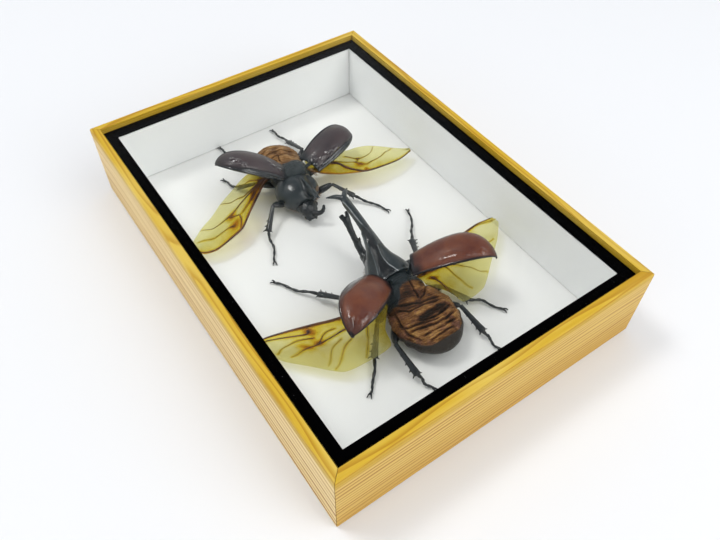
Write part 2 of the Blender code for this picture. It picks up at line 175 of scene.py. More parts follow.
def mixColour(tree, factor, first, second, blend="MIX"):
    pair = [side if isinstance(side, bpy.types.NodeSocket) else (*side, 1.0) for side in (first, second)]
    sockets = {0: factor, 6: pair[0], 7: pair[1]}
    return addNode(tree, "ShaderNodeMix", sockets, data_type="RGBA", blend_type=blend).outputs[2]


# the object's own coordinates, in millimetres unless a scale is given
def objectPoint(tree, shift=(0.0, 0.0, 0.0), scale=1.0 / mm):
    place = addNode(tree, "ShaderNodeTexCoord").outputs["Object"]
    sockets = {"Vector": place, "Location": shift, "Scale": (scale, scale, scale)}
    return addNode(tree, "ShaderNodeMapping", sockets).outputs["Vector"]


def attributeOf(tree, name, output="Fac"):
    return addNode(tree, "ShaderNodeAttribute", attribute_name=name).outputs[output]


def noiseAt(tree, point, scale, detail=3.0, roughness=0.55):
    sockets = {"Vector": point, "Scale": scale, "Detail": detail, "Roughness": roughness}
    return addNode(tree, "ShaderNodeTexNoise", sockets).outputs["Fac"]


# fine pits, dark in the middle and bright between them
def pitsAt(tree, point, scale, wide):
    pits = addNode(tree, "ShaderNodeTexVoronoi", {"Vector": point, "Scale": scale})
    return greyRamp(tree, pits.outputs["Distance"], 0.0, wide)


# strength is a share, distance is in metres
def addBump(tree, shader, height, strength, distance):
    sockets = {"Height": height, "Strength": strength, "Distance": distance}
    wire(tree, shader, {"Normal": addNode(tree, "ShaderNodeBump", sockets).outputs["Normal"]})


def paint(node, material):
    node.data.materials.clear()
    node.data.materials.append(material)


def floorMaterial():
    material, tree, shader = newMaterial("paleFloor", 0.6, 0.2)
    shader.inputs["Base Color"].default_value = (*studio["floorColour"], 1.0)
    shader.inputs["Emission Color"].default_value = (1.0, 1.0, 1.0, 1.0)
    place = objectPoint(tree, scale=1.0)
    away = addNode(tree, "ShaderNodeVectorMath", [place], operation="LENGTH").outputs["Value"]
    wire(tree, shader, {"Emission Strength": mapRange(tree, away, *studio["floorGlow"])})
    return material


def addFloor():
    bm = bmesh.new()
    bmesh.ops.create_circle(bm, cap_ends=True, segments=studio["floorSides"], radius=studio["floorRadius"])
    bmesh.ops.translate(bm, verts=bm.verts, vec=(0.0, 0.0, -studio["floorDrop"]))
    mesh = meshOf(bm, "floor")
    mesh.materials.append(floorMaterial())
    floor = addObject("floor", mesh)


def addSky():
    world = bpy.data.worlds.new("studio")
    bpy.context.scene.world = world
    world.use_nodes = True
    tree = world.node_tree
    direction = addNode(tree, "ShaderNodeTexCoord").outputs["Generated"]
    height = addNode(tree, "ShaderNodeSeparateXYZ", [direction]).outputs["Z"]
    wire(tree, tree.nodes["Background"], {"Color": ramp(tree, height, studio["sky"])})


def addLamps():
    for name, (place, aim, width, depth, watts, mirrored) in studio["lamps"].items():
        lampData = bpy.data.lights.new(name, "AREA")
        lampData.shape = "RECTANGLE"
        lampData.size = width
        lampData.size_y = depth
        lampData.energy = watts
        lampData.color = studio["lampColour"]
        lamp = addObject(name, lampData)
        lamp.location = place
        lamp.rotation_euler = (Vector(aim) - Vector(place)).to_track_quat("-Z", "Y").to_euler()
        lamp.visible_glossy = mirrored


addFloor()
addSky()
addLamps()
bpy.context.scene.view_settings.view_transform = "Standard"
print("studio ready")

# pine rails: growth rings about a pith that lies along each rail, out of sight
pine = {
    "late": (0.36, 0.115, 0.013),
    "sun": (0.67, 0.45, 0.032),  # the golden cast on top
    "sunPale": (0.74, 0.55, 0.10),
    "sunLate": (0.44, 0.21, 0.008),
    "fibreTint": (0.50, 0.31, 0.12),
    "topSpacing": 0.85,  # mm
    "wander": 7.0,  # mm that the rings stray by
    # pace of a pattern along and across the grain
    "slow": (0.008, 0.07),
    "fine": (0.03, 1.6),
    # share of a ring's width, how dark its line is: on the sides and on top
    "line": ((0.0, 0.0), (0.42, 0.10), (0.70, 1.0), (0.90, 1.0), (0.97, 0.0)),
    "topLine": ((0.0, 0.0), (0.50, 0.10), (0.82, 1.0), (0.90, 1.0), (0.97, 0.0)),
    # heights (mm) between which a colour changes, and how far the change strays
    "goldFrom": (30.4, 31.8, 3.0),
    "tintFrom": (8.0, 26.0, 16.0),
    # rail: runs along Y, pith across and up (mm), ring spacing (mm), way the inner face looks,
    # side tint, tint low down, shift
    "rails": {
        "rail_left": (True, (-38.0, -30.0), 2.9, 1.0, (0.96, 0.79, 0.41), (0.93, 0.75, 0.36), 23.0),
        "rail_right": (True, (46.0, -44.0), 1.5, -1.0, (0.82, 0.63, 0.27), (0.76, 0.53, 0.18), 31.0),
        "rail_front": (False, (-66.0, -26.0), 1.85, 1.0, (0.78, 0.575, 0.165), (0.67, 0.43, 0.085), 57.0),
        "rail_back": (False, (66.0, -52.0), 1.5, -1.0, (0.82, 0.63, 0.27), (0.76, 0.55, 0.20), 83.0),
    },
}


def alongGrain(tree, place, alongY, lengthways, across):
    stretch = (across, lengthways, across) if alongY else (lengthways, across, across)
    return addNode(tree, "ShaderNodeVectorMath", [place, stretch], operation="MULTIPLY").outputs[0]


# 0 below a change in colour and 1 above it; up is the pith's height
def risenShare(tree, height, broad, up, change):
    low, high, stray = change
    return mapRange(tree, plusPart(tree, height, broad, stray), low - up, high - up)


def pineMaterial(name, alongY, pith, spacing, inner, sideTint, lowTint, shift):
    material, tree, shader = newMaterial(name, 0.5, 0.2)
    across, up = pith
    sideways = "X" if alongY else "Y"
    place = objectPoint(tree, (-across, shift, -up) if alongY else (shift, -across, -up))
    apart = addNode(tree, "ShaderNodeSeparateXYZ", [place])
    side, height = apart.outputs[sideways], apart.outputs["Z"]
    slow = alongGrain(tree, place, alongY, *pine["slow"])
    broad = noiseAt(tree, slow, 2.2)
    fibre = noiseAt(tree, alongGrain(tree, place, alongY, *pine["fine"]), 2.0, 5.0, 0.7)
    radius = calc(tree, "SQRT", calc(tree, "ADD", times(tree, side, side), times(tree, height, height)))
    radius = plusPart(tree, radius, noiseAt(tree, slow, 1.0, 2.0), pine["wander"])
    # the sides' growth lines, of another strength each year and in patches
    ringPlace = calc(tree, "DIVIDE", radius, spacing)
    line = greyBand(tree, calc(tree, "FRACT", ringPlace), pine["line"])
    year = {"W": calc(tree, "FLOOR", ringPlace)}
    yearly = addNode(tree, "ShaderNodeTexWhiteNoise", year, noise_dimensions="1D").outputs["Value"]
    patchy = plusPart(tree, 0.55, greyRamp(tree, broad, 0.30, 0.56), 0.45)
    strength = times(tree, times(tree, line, plusPart(tree, 0.4, yearly, 0.6)), patchy)
    ground = mixColour(tree, risenShare(tree, height, broad, up, pine["tintFrom"]), lowTint, sideTint)
    sideColour = mixColour(tree, strength, ground, pine["late"])
    # the golden top, which reaches down the inner face and a little way down the outer one
    topRing = calc(tree, "FRACT", calc(tree, "DIVIDE", radius, pine["topSpacing"]))
    topShare = times(tree, times(tree, greyBand(tree, topRing, pine["topLine"]), patchy), 0.75)
    topColour = mixColour(tree, greyRamp(tree, broad, 0.36, 0.56), pine["sunPale"], pine["sun"])
    topColour = mixColour(tree, topShare, topColour, pine["sunLate"])
    normal = addNode(tree, "ShaderNodeTexCoord").outputs["Normal"]
    normal = addNode(tree, "ShaderNodeSeparateXYZ", [normal])
    facing = times(tree, normal.outputs[sideways], inner)
    golden = greyRamp(tree, calc(tree, "MAXIMUM", normal.outputs["Z"], facing), 0.25, 0.8)
    nearTop = times(tree, risenShare(tree, height, broad, up, pine["goldFrom"]), 0.85)
    colour = mixColour(tree, calc(tree, "MAXIMUM", golden, nearTop), sideColour, topColour)
    grain = mixColour(tree, times(tree, fibre, 0.45), colour, pine["fibreTint"], "MULTIPLY")
    wire(tree, shader, {"Base Color": grain, "Roughness": plusPart(tree, 0.46, fibre, 0.2)})
    addBump(tree, shader, plusPart(tree, fibre, line, 0.15), 0.25, 0.0002)
    return material


def dressRails():
    for name, setting in pine["rails"].items():
        paint(nodes[name], pineMaterial("pine_" + name, *setting))
    print("rails dressed")


dressRails()

# glass, cards and the back panel
cards = {
    "glassGloss": 0.7,  # at a glancing angle; the room above is dim
    "glassTint": (0.99, 0.993, 0.988, 1.0),
    "border": (0.0008, 0.0008, 0.001),
    "dust": (0.45, 0.46, 0.48),
    "floor": (0.87, 0.87, 0.855),
    "liner": (0.93, 0.94, 0.935),
    "board": (0.33, 0.21, 0.12),
    "cardDim": 0.94,  # how bright a card's dimmer patches are, as a share
    "boardDim": 0.6,
}


def glassMaterial():
    material = bpy.data.materials.new("clearGlass")
    material.use_nodes = True
    tree = material.node_tree
    tree.nodes.clear()
    clear = addNode(tree, "ShaderNodeBsdfTransparent", {"Color": cards["glassTint"]})
    gloss = addNode(tree, "ShaderNodeBsdfGlossy", {"Color": (1.0, 1.0, 1.0, 1.0), "Roughness": 0.03})
    facing = addNode(tree, "ShaderNodeLayerWeight", {"Blend": 0.5}).outputs["Facing"]
    share = times(tree, calc(tree, "POWER", facing, 5.0), cards["glassGloss"])
    mixed = addNode(tree, "ShaderNodeMixShader", [share, clear.outputs[0], gloss.outputs[0]])
    addNode(tree, "ShaderNodeOutputMaterial", {"Surface": mixed.outputs[0]})
    return material


def patchedColour(tree, patches, colour, dim):
    return mixColour(tree, patches, tuple(value * dim for value in colour), colour)


def cardMaterial(name, colour):
    material, tree, shader = newMaterial(name, 0.85, 0.2)
    place = objectPoint(tree)
    cloud = noiseAt(tree, place, 0.03)
    wire(tree, shader, {"Base Color": patchedColour(tree, cloud, colour, cards["cardDim"])})
    addBump(tree, shader, noiseAt(tree, place, 3.0, 4.0), 0.12, 0.0001)
    return material


def borderMaterial():
    material, tree, shader = newMaterial("blackBorder", 0.5, 0.0)
    place = objectPoint(tree)
    stroke = greyRamp(tree, noiseAt(tree, place, 1.6, 2.0), 0.735, 0.76)
    where = greyRamp(tree, noiseAt(tree, place, 0.05, 1.0), 0.5, 0.6)
    specks = times(tree, stroke, where)
    wire(tree, shader, {"Base Color": mixColour(tree, specks, cards["border"], cards["dust"])})
    return material


def boardMaterial():
    material, tree, shader = newMaterial("hardboard", 0.8)
    fleck = noiseAt(tree, objectPoint(tree), 0.9, 6.0, 0.7)
    wire(tree, shader, {"Base Color": patchedColour(tree, fleck, cards["board"], cards["boardDim"])})
    addBump(tree, shader, fleck, 0.2, 0.0002)
    return material


def dressCase():
    paint(nodes["glass_pane"], glassMaterial())
    paint(nodes["black_border"], borderMaterial())
    paint(nodes["floor_card"], cardMaterial("whiteCard", cards["floor"]))
    liner = cardMaterial("linerCard", cards["liner"])
    for side in ("left", "right", "front", "back"):
        paint(nodes["liner_" + side], liner)
    paint(nodes["back_panel"], boardMaterial())
    print("case dressed")


dressCase()

# beetles: millimetres about each waist, head towards +Y, standing on the card
cardTop = 4.75
beetles = {
    "large_beetle": {
        "place": (-0.5, -33.0),
        "turn": 0.0,  # degrees
    },
    "small_beetle": {
        "place": (-1.8, 38.5),
        "turn": 172.0,
    },
}


def placeOf(beetle):
    setting = beetles[beetle]
    turn = Matrix.Rotation(math.radians(setting["turn"]), 4, "Z")
    return Matrix.Scale(mm, 4) @ Matrix.Translation((*setting["place"], cardTop)) @ turn


def clamp(value):
    return min(max(value, 0.0), 1.0)


# the first point of the stretch that a share of a line falls in, and the share of that stretch
def stretchAt(points, share):
    place = clamp(share) * (len(points) - 1)
    first = min(int(place), len(points) - 2)
    return first, place - first


def smoothPoint(points, share):
    first, step = stretchAt(points, share)
    before, start, end, after = (
        Vector(points[min(max(first + offset, 0), len(points) - 1)]) for offset in (-1, 0, 1, 2)
    )
    bend = 2 * before - 5 * start + 4 * end - after + step * (3 * (start - end) + after - before)
    return start + 0.5 * step * (end - before + step * bend)


def hump(value, middle, spread):
    return math.exp(-(((value - middle) / spread) ** 2))


def fade(value, low, high):
    share = clamp((value - low) / (high - low))
    return share * share * (3.0 - 2.0 * share)


# the row of a table at a value of its first column, held at the ends
def rowAt(table, value):
    for near, far in zip(table, table[1:]):
        if value <= far[0]:
            break
    return Vector(near).lerp(Vector(far), clamp((value - near[0]) / (far[0] - near[0])))


# how far x, y is from a bent line, and the share of the way along it
def fromLine(x, y, line):
    closest, along = math.inf, 0.0
    for number, ((x0, y0), (x1, y1)) in enumerate(zip(line, line[1:])):
        dx, dy = x1 - x0, y1 - y0
        share = clamp(((x - x0) * dx + (y - y0) * dy) / (dx * dx + dy * dy))
        gap = math.hypot(x - x0 - share * dx, y - y0 - share * dy)
        if gap < closest:
            closest, along = gap, (number + share) / (len(line) - 1)
    return closest, along


# small relief of several noises: the height and the pace of each
def ripples(point, waves, start=0.0):
    return sum((height * noise.noise(point * pace) for height, pace in waves), start)


upward = Vector((0.0, 0.0, 1.0))
aheadShare = 0.02  # how far ahead and behind a tube looks for its direction
flatBelow = 0.88  # a lump's depth below its middle, as a share of its height above


# a closed tube along points of x, y, z, half width and half height; upright keeps its rings square to Y
def addTube(bm, path, around, rings, blunt, upright=False):
    made = bmesh.ops.create_uvsphere(bm, u_segments=around, v_segments=rings, radius=1.0)
    for vert in made["verts"]:
        share = (vert.co.z + 1.0) / 2.0
        ring = math.hypot(vert.co.x, vert.co.y)
        closing = min(1.0, blunt * ring)
        x, y, z, wide, high = smoothPoint(path, share)
        ahead = smoothPoint(path, share + aheadShare) - smoothPoint(path, share - aheadShare)
        ahead = Vector((0.0, 1.0, 0.0)) if upright else Vector(ahead[:3]).normalized()
        side = ahead.cross(upward)
        side = side.normalized() if side.length > 0.05 else Vector((1.0, 0.0, 0.0))
        top = side.cross(ahead)
        across = vert.co.x / max(ring, 1e-6) * wide * closing
        over = vert.co.y / max(ring, 1e-6) * high * closing
        vert.co = Vector((x, y, z)) + side * -across + top * over


# a lump with its poles fore and aft, flatter below; a power under 1 makes it squarer
def addLump(bm, centre, half, around=40, rings=28, power=1.0):
    made = bmesh.ops.create_uvsphere(bm, u_segments=around, v_segments=rings, radius=1.0)
    bmesh.ops.rotate(bm, verts=made["verts"], matrix=Matrix.Rotation(math.pi / 2, 3, "X"))
    for vert in made["verts"]:
        flat = flatBelow if vert.co.z < 0 else 1.0
        reach = [math.copysign(abs(value) ** power, value) for value in vert.co]
        vert.co = Vector(centre) + Vector((reach[0] * half[0], reach[1] * half[1], reach[2] * half[2] * flat))
    return made["verts"]


# overlapping lumps become one skin
def fuse(bm, name, voxel, rounds, factor=0.5):
    mesh = meshOf(bm, name)
    draft = addObject(name + "_draft", mesh)
    skin = draft.modifiers.new("skin", "REMESH")
    skin.mode = "VOXEL"
    skin.voxel_size = voxel
    soften = draft.modifiers.new("soften", "SMOOTH")
    soften.factor = factor
    soften.iterations = rounds
    graph = bpy.context.evaluated_depsgraph_get()
    fused = bpy.data.meshes.new_from_object(draft.evaluated_get(graph))
    bpy.data.objects.remove(draft)
    bpy.data.meshes.remove(mesh)
    fused.name = name
    return fused


def setAttribute(mesh, name, values, kind="FLOAT", field="value"):
    mesh.attributes.new(name, kind, "POINT").data.foreach_set(field, values)


# moves each vertex along its normal by shape(point, normal), in millimetres, and may keep a tone there
def carve(mesh, shape, attribute=None):
    moves = []
    tones = []
    for vert in mesh.vertices:
        made = shape(vert.co, vert.normal)
        depth, tone = made if isinstance(made, tuple) else (made, 0.0)
        moves.append(vert.co + vert.normal * depth)
        tones.append(tone)
    for vert, place in zip(mesh.vertices, moves):
        vert.co = place
    if attribute:
        setAttribute(mesh, attribute, tones)


def addPiece(name, mesh, beetle, material, slot, *replaced):
    mesh.transform(placeOf(beetle))
    mesh.name = name
    mesh.materials.clear()
    mesh.materials.append(material)
    mesh.shade_smooth()
    piece = addObject(name, mesh)
    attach(piece, "root")
    if replaced:
        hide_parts(*replaced)
    return piece


def addWall(piece, thickness):
    wall = piece.modifiers.new("wall", "SOLIDIFY")
    wall.thickness = thickness * mm
    wall.offset = -1.0


# cuticle: dark polished shell with fine pits, bluish grey where the polish is dull, that grey partly standing
# in for painted sheen, and a pale painted highlight
cuticle = {
    "black": (0.0030, 0.0045, 0.0060),
    "bloomAndPaintedLight": (0.020, 0.030, 0.034),
    "paintedHighlight": (0.46, 0.48, 0.50),
    # dome, side, dark rim that also lays painted edge shade, flange (on the chestnut a pale grey painted
    # reflection)
    "chestnut": (
        (0.165, 0.048, 0.020), (0.095, 0.024, 0.014), (0.006, 0.004, 0.006), (0.15, 0.135, 0.13),
    ),
    "plum": (
        (0.060, 0.042, 0.044), (0.036, 0.028, 0.032), (0.004, 0.008, 0.010), (0.020, 0.022, 0.026),
    ),
}


def shellMaterial(name, mapped):
    material, tree, shader = newMaterial(name, 0.3)
    shader.inputs["Coat Weight"].default_value = 0.35
    shader.inputs["Coat Roughness"].default_value = 0.07
    place = objectPoint(tree)
    cloud = noiseAt(tree, place, 0.35, 4.0)
    if mapped:
        # the pronotum's mapped tone: bloom, with painted highlights on ridges and hem and painted shade in
        # grooves
        share = plusSwing(tree, attributeOf(tree, "bloomAndPaintedLight"), cloud, 0.25)
    else:
        share = times(tree, greyRamp(tree, cloud, 0.35, 0.75), 0.25)
    black, bloomAndPaintedLight, paintedHighlight = (cuticle[key] for key in ("black", "bloomAndPaintedLight", "paintedHighlight"))
    # past the bloom colour the ramp runs up to a pale painted highlight, used for the pronotum's ridge lines
    colour = ramp(tree, share, [(0.0, black), (0.5, bloomAndPaintedLight), (0.62, bloomAndPaintedLight), (1.0, paintedHighlight)])
    wire(tree, shader, {"Base Color": colour, "Roughness": plusPart(tree, 0.20, cloud, 0.26)})
    relief = plusPart(tree, pitsAt(tree, place, 3.2, 0.45), noiseAt(tree, place, 5.0, 4.0), 0.6)
    addBump(tree, shader, relief, 0.10, 0.0001)
    return material


def wingCaseMaterial(name, colours, coatRoughness):
    dome, side, rimAndPaintedShade, flange = colours
    material, tree, shader = newMaterial(name, 0.35, 0.35)
    shader.inputs["Coat Roughness"].default_value = coatRoughness
    place = objectPoint(tree)
    rimAndPaintedShadeShare, flangeShare, gloss = (attributeOf(tree, key) for key in ("rimAndPaintedShade", "flange", "gloss"))
    cloud = noiseAt(tree, place, 0.16, 5.0, 0.6)
    fine = noiseAt(tree, place, 2.4, 5.0, 0.6)
    skin = mixColour(tree, greyRamp(tree, cloud, 0.34, 0.66), side, dome)
    skin = mixColour(tree, times(tree, greyRamp(tree, fine, 0.45, 0.8), 0.4), skin, side)
    # the flange colour: on the chestnut a pale grey painted reflection, on the plum a dark blue-black
    edged = mixColour(tree, flangeShare, skin, flange)
    # the dark rim colour also lays the painted shade along the edges
    edged = mixColour(tree, greyRamp(tree, rimAndPaintedShadeShare, 0.25, 0.85), edged, rimAndPaintedShade)
    dull = plusPart(tree, plusPart(tree, 0.30, fine, 0.22), gloss, -0.2)
    coat = plusPart(tree, 0.12, gloss, 0.88)
    wire(tree, shader, {"Base Color": edged, "Coat Weight": coat, "Roughness": dull})
    relief = plusPart(tree, times(tree, fine, 0.6), cloud, 2.0)
    relief = plusPart(tree, relief, pitsAt(tree, place, 2.6, 0.4), 0.5)
    addBump(tree, shader, relief, 0.10, 0.0002)
    return material


blackShell = shellMaterial("blackCuticle", False)
bloomAndPaintedLightShell = shellMaterial("bloomAndPaintedLightCuticle", True)
chestnutShell = wingCaseMaterial("chestnutCuticle", cuticle["chestnut"], 0.13)
plumShell = wingCaseMaterial("plumCuticle", cuticle["plum"], 0.09)

# pronotum with its long horn: upright sections of x, y, z, half width and half height
pronota = {
    "large_beetle": {
        "hem": 2.3,
        "lump": (
            (0.6, 6.0, 7.0, 7.6, 5.6), (0.6, 8.0, 7.0, 7.6, 6.0), (0.5, 10.5, 7.0, 6.8, 6.2),
            (0.4, 13.0, 6.8, 5.4, 5.6), (0.4, 15.0, 6.6, 4.2, 4.6), (0.3, 16.4, 6.5, 2.8, 3.4),
        ),
        "horn": (
            (0.7, 1.6, 7.4, 7.6, 6.4), (0.7, 3.0, 7.5, 8.8, 6.9), (0.7, 5.0, 7.8, 9.0, 7.0),
            (0.4, 8.0, 9.0, 7.8, 7.0), (0.0, 10.2, 10.9, 6.1, 6.2), (-0.2, 12.5, 13.6, 4.6, 5.0),
            (0.1, 15.0, 16.1, 3.4, 3.7), (0.5, 17.7, 17.8, 2.6, 2.8), (0.9, 20.8, 19.0, 2.0, 2.1),
            (1.15, 25.0, 20.4, 1.65, 1.65), (1.2, 29.5, 21.5, 1.6, 1.5), (1.2, 33.2, 22.2, 1.65, 1.5),
            (1.25, 36.3, 22.9, 1.5, 1.3), (1.25, 37.6, 23.1, 1.1, 1.0),
        ),
        "prongs": (5.0, 3.6, 1.4, 1.15),  # reach, forward, drop, radius
        # line in plan, height, half width, share of the line over which its ends fade, strength of the
        # painted highlight laid along it
        "ridges": (
            (((0.3, 36.0), (0.2, 30.4), (0.2, 23.6), (0.3, 18.6), (0.2, 15.0), (0.0, 12.0)),
             0.75, 1.9, 0.1, 0.0),
            (((-0.3, 36.3), (0.0, 33.9), (0.2, 30.4), (0.2, 26.6), (0.2, 23.6), (0.3, 19.9), (0.4, 16.6)),
             0.20, 0.35, 0.14, 0.46),
            (((-0.8, 21.8), (-1.4, 19.5), (-2.0, 16.9), (-2.6, 14.1), (-3.1, 11.3), (-3.5, 9.3),
              (-4.1, 7.0), (-4.8, 5.0), (-5.2, 2.6)), 0.55, 1.0, 0.10, 0.46),
            (((-0.1, 13.8), (0.0, 12.1), (-0.3, 9.8), (-0.2, 7.9), (0.1, 6.0), (0.9, 4.2), (1.3, 2.7),
              (2.0, 2.0)), 0.50, 0.7, 0.1, 0.78),
        ),
        # line in plan, depth, half width, how much painted shade darkens it
        "grooves": (
            (((-0.2, 20.5), (-0.4, 18.6), (-1.2, 14.9), (-1.7, 12.0), (-1.9, 9.3), (-2.3, 6.9),
              (-2.4, 2.0)), 0.25, 1.5, 0.34),
            (((-0.9, 12.0), (-1.3, 9.0), (-1.3, 6.4), (-0.9, 4.4), (0.2, 2.8)), 0.12, 1.3, 0.30),
        ),
    },
    "small_beetle": {
        "hem": 3.4,
        "lump": (
            (1.0, 2.8, 6.9, 7.4, 5.0), (1.0, 5.0, 6.9, 8.8, 6.1), (1.0, 8.6, 6.9, 9.1, 6.3),
            (1.0, 12.2, 6.7, 7.6, 5.7), (0.7, 14.8, 6.3, 5.4, 4.5), (0.4, 16.2, 6.0, 3.6, 3.2),
        ),
        "horn": (
            (-1.4, 7.6, 7.6, 4.2, 5.4), (-1.9, 11.0, 9.0, 3.2, 4.2), (-2.3, 13.8, 10.4, 2.3, 2.8),
            (-2.8, 16.4, 11.3, 1.5, 1.5), (-3.0, 18.2, 11.5, 0.9, 0.9),
        ),
        "prongs": (1.3, 1.2, 0.4, 0.7),
        "ridges": (
            (((-1.2, 6.0), (-1.6, 9.0), (-2.2, 13.0), (-2.8, 17.4)), 0.45, 0.9, 0.2, 0.12),
            (((-6.0, 5.0), (-6.6, 8.0), (-6.2, 11.0)), 0.35, 0.8, 0.3, 0.10),
        ),
        "grooves": (
            (((-0.2, 7.0), (-0.4, 10.0), (-0.8, 14.6)), 0.45, 1.1, 0.2),
            (((-4.2, 6.0), (-4.6, 9.0), (-5.0, 12.6)), 0.50, 1.2, 0.2),
        ),
    },
    "voxel": 0.19,
    "ripples": ((0.025, 0.9), (0.015, 3.1)),
}


def addProngs(bm, tip, size):
    x, y, z, _, _ = tip
    reach, forward, drop, radius = size
    for side in (-1, 1):
        foot = (x + side * 0.1, y - 1.6, z, radius * 0.9, radius * 0.9)
        knee = (x + side * reach * 0.42, y + forward * 0.30, z - drop * 0.2, radius * 0.85, radius * 0.75)
        end = (x + side * reach, y + forward, z - drop, radius * 0.18, radius * 0.18)
        addTube(bm, (foot, knee, end), 14, 20, 2.5)


def addPronotum(beetle):
    name = beetle + "_pronotum"
    setting = pronota[beetle]
    bm = bmesh.new()
    addTube(bm, setting["lump"], 48, 40, 3.0, upright=True)
    addTube(bm, setting["horn"], 40, 70, 3.0, upright=True)
    addProngs(bm, setting["horn"][-1], setting["prongs"])
    mesh = fuse(bm, name, pronota["voxel"], 6)

    def ridged(point, normal):
        hem = hump(point.y, setting["hem"], 0.3)
        depth = ripples(point, pronota["ripples"]) + 0.3 * hem
        # the base tone is a share of bloom; the hem's upward face is lightened as a painted highlight
        tone = 0.31 + 0.3 * hem * max(normal.z, 0.0)
        if normal.z > 0.0:
            for line, height, wide, ends, paintedHighlight in setting["ridges"]:
                gap, along = fromLine(point.x, point.y, line)
                strength = fade(along, 0.0, ends) * (1.0 - fade(along, 1.0 - ends, 1.0))
                depth += height * strength * max(0.0, 1.0 - gap / wide) ** 1.3
                # a thin painted highlight along the ridge's crest
                tone += paintedHighlight * strength * (1.0 - fade(gap, 0.06, 0.30))
            for line, low, wide, dull in setting["grooves"]:
                gap, along = fromLine(point.x, point.y, line)
                depth -= low * hump(gap, 0.0, wide)
                # painted shade darkens the groove
                tone -= dull * hump(gap, 0.0, wide)
        return depth, tone

    carve(mesh, ridged, "bloomAndPaintedLight")
    addPiece(name + "_skin", mesh, beetle, bloomAndPaintedLightShell, "black_cuticle", name)


for beetle in beetles:
    addPronotum(beetle)
print("pronota and horns made")

# head with its own horn, eyes and mouth shield
heads = {
    "large_beetle": {
        "lump": ((0.5, 17.8, 5.0), (2.6, 4.6, 3.0)),
        "eye": 0.9,
        # x, y, z, half width, half height
        "horn": (
            (0.4, 17.5, 4.6, 2.4, 2.4), (0.3, 20.0, 5.2, 1.9, 1.8), (0.2, 22.0, 5.9, 1.55, 1.4),
            (0.2, 25.0, 7.6, 1.45, 1.3), (0.1, 27.2, 9.4, 1.2, 1.1), (0.1, 29.2, 11.2, 1.25, 1.0),
            (0.15, 31.4, 13.2, 1.4, 1.0), (0.3, 33.4, 14.7, 1.65, 1.0), (0.3, 34.2, 15.1, 1.5, 0.9),
        ),
        "prongs": (
            ((-0.4, 33.0, 14.6, 1.0, 0.85), (-0.7, 34.4, 15.2, 1.0, 0.8), (-0.8, 35.4, 15.7, 0.9, 0.7)),
            ((1.0, 33.0, 14.6, 0.9, 0.8), (1.6, 34.6, 15.3, 0.8, 0.7), (2.0, 35.9, 15.9, 0.6, 0.5)),
            ((0.8, 25.0, 8.0, 0.9, 0.8), (1.6, 26.1, 9.2, 0.5, 0.45), (1.9, 26.6, 9.7, 0.2, 0.2)),
        ),
    },
    "small_beetle": {
        "lump": ((0.4, 17.4, 5.0), (4.0, 4.8, 3.4)),
        "eye": 1.15,
        "horn": (
            (0.0, 18.4, 5.2, 1.7, 1.5), (-1.0, 20.8, 5.5, 1.3, 1.15), (-2.6, 22.4, 6.1, 1.0, 0.9),
            (-4.0, 22.7, 7.6, 0.8, 0.75), (-4.7, 21.8, 9.3, 0.45, 0.45),
        ),
        "prongs": (),
    },
    "voxel": 0.15,
    "ripples": ((0.12, 1.3), (0.06, 3.7)),
    # share of the half width, share of the half length, rise, half width, half height
    "jaw": ((0.3, 0.8, -1.6, 0.6, 0.4), (0.38, 0.97, -1.5, 0.5, 0.3), (0.22, 1.04, -1.3, 0.2, 0.2)),
}


def addHead(beetle):
    name = beetle + "_head"
    setting = heads[beetle]
    (x, y, z), half = setting["lump"]
    eye = setting["eye"]
    bm = bmesh.new()
    addLump(bm, (x, y - 0.6, z), (half[0], half[1] - 0.6, half[2]))
    mouth = (x, y + half[1] * 0.62, z - half[2] * 0.35)
    addLump(bm, mouth, (half[0] * 0.72, half[1] * 0.38, half[2] * 0.38))
    for side in (-1, 1):
        addLump(bm, (x + side * (half[0] - 0.3), y - 1.4, z + 0.3), (eye, eye * 1.1, eye * 1.1), 20, 14)
        jaw = [
            (x + side * half[0] * out, y + half[1] * on, z + rise, wide, high)
            for out, on, rise, wide, high in heads["jaw"]
        ]
        addTube(bm, jaw, 12, 14, 2.0)
    addTube(bm, setting["horn"], 28, 60, 2.5)
    for prong in setting["prongs"]:
        addTube(bm, prong, 16, 18, 2.0)
    mesh = fuse(bm, name, heads["voxel"], 4)
    carve(mesh, lambda point, normal: ripples(point, heads["ripples"]))
    addPiece(name + "_skin", mesh, beetle, blackShell, "black_cuticle", name)


for beetle in beetles:
    addHead(beetle)
print("heads made")

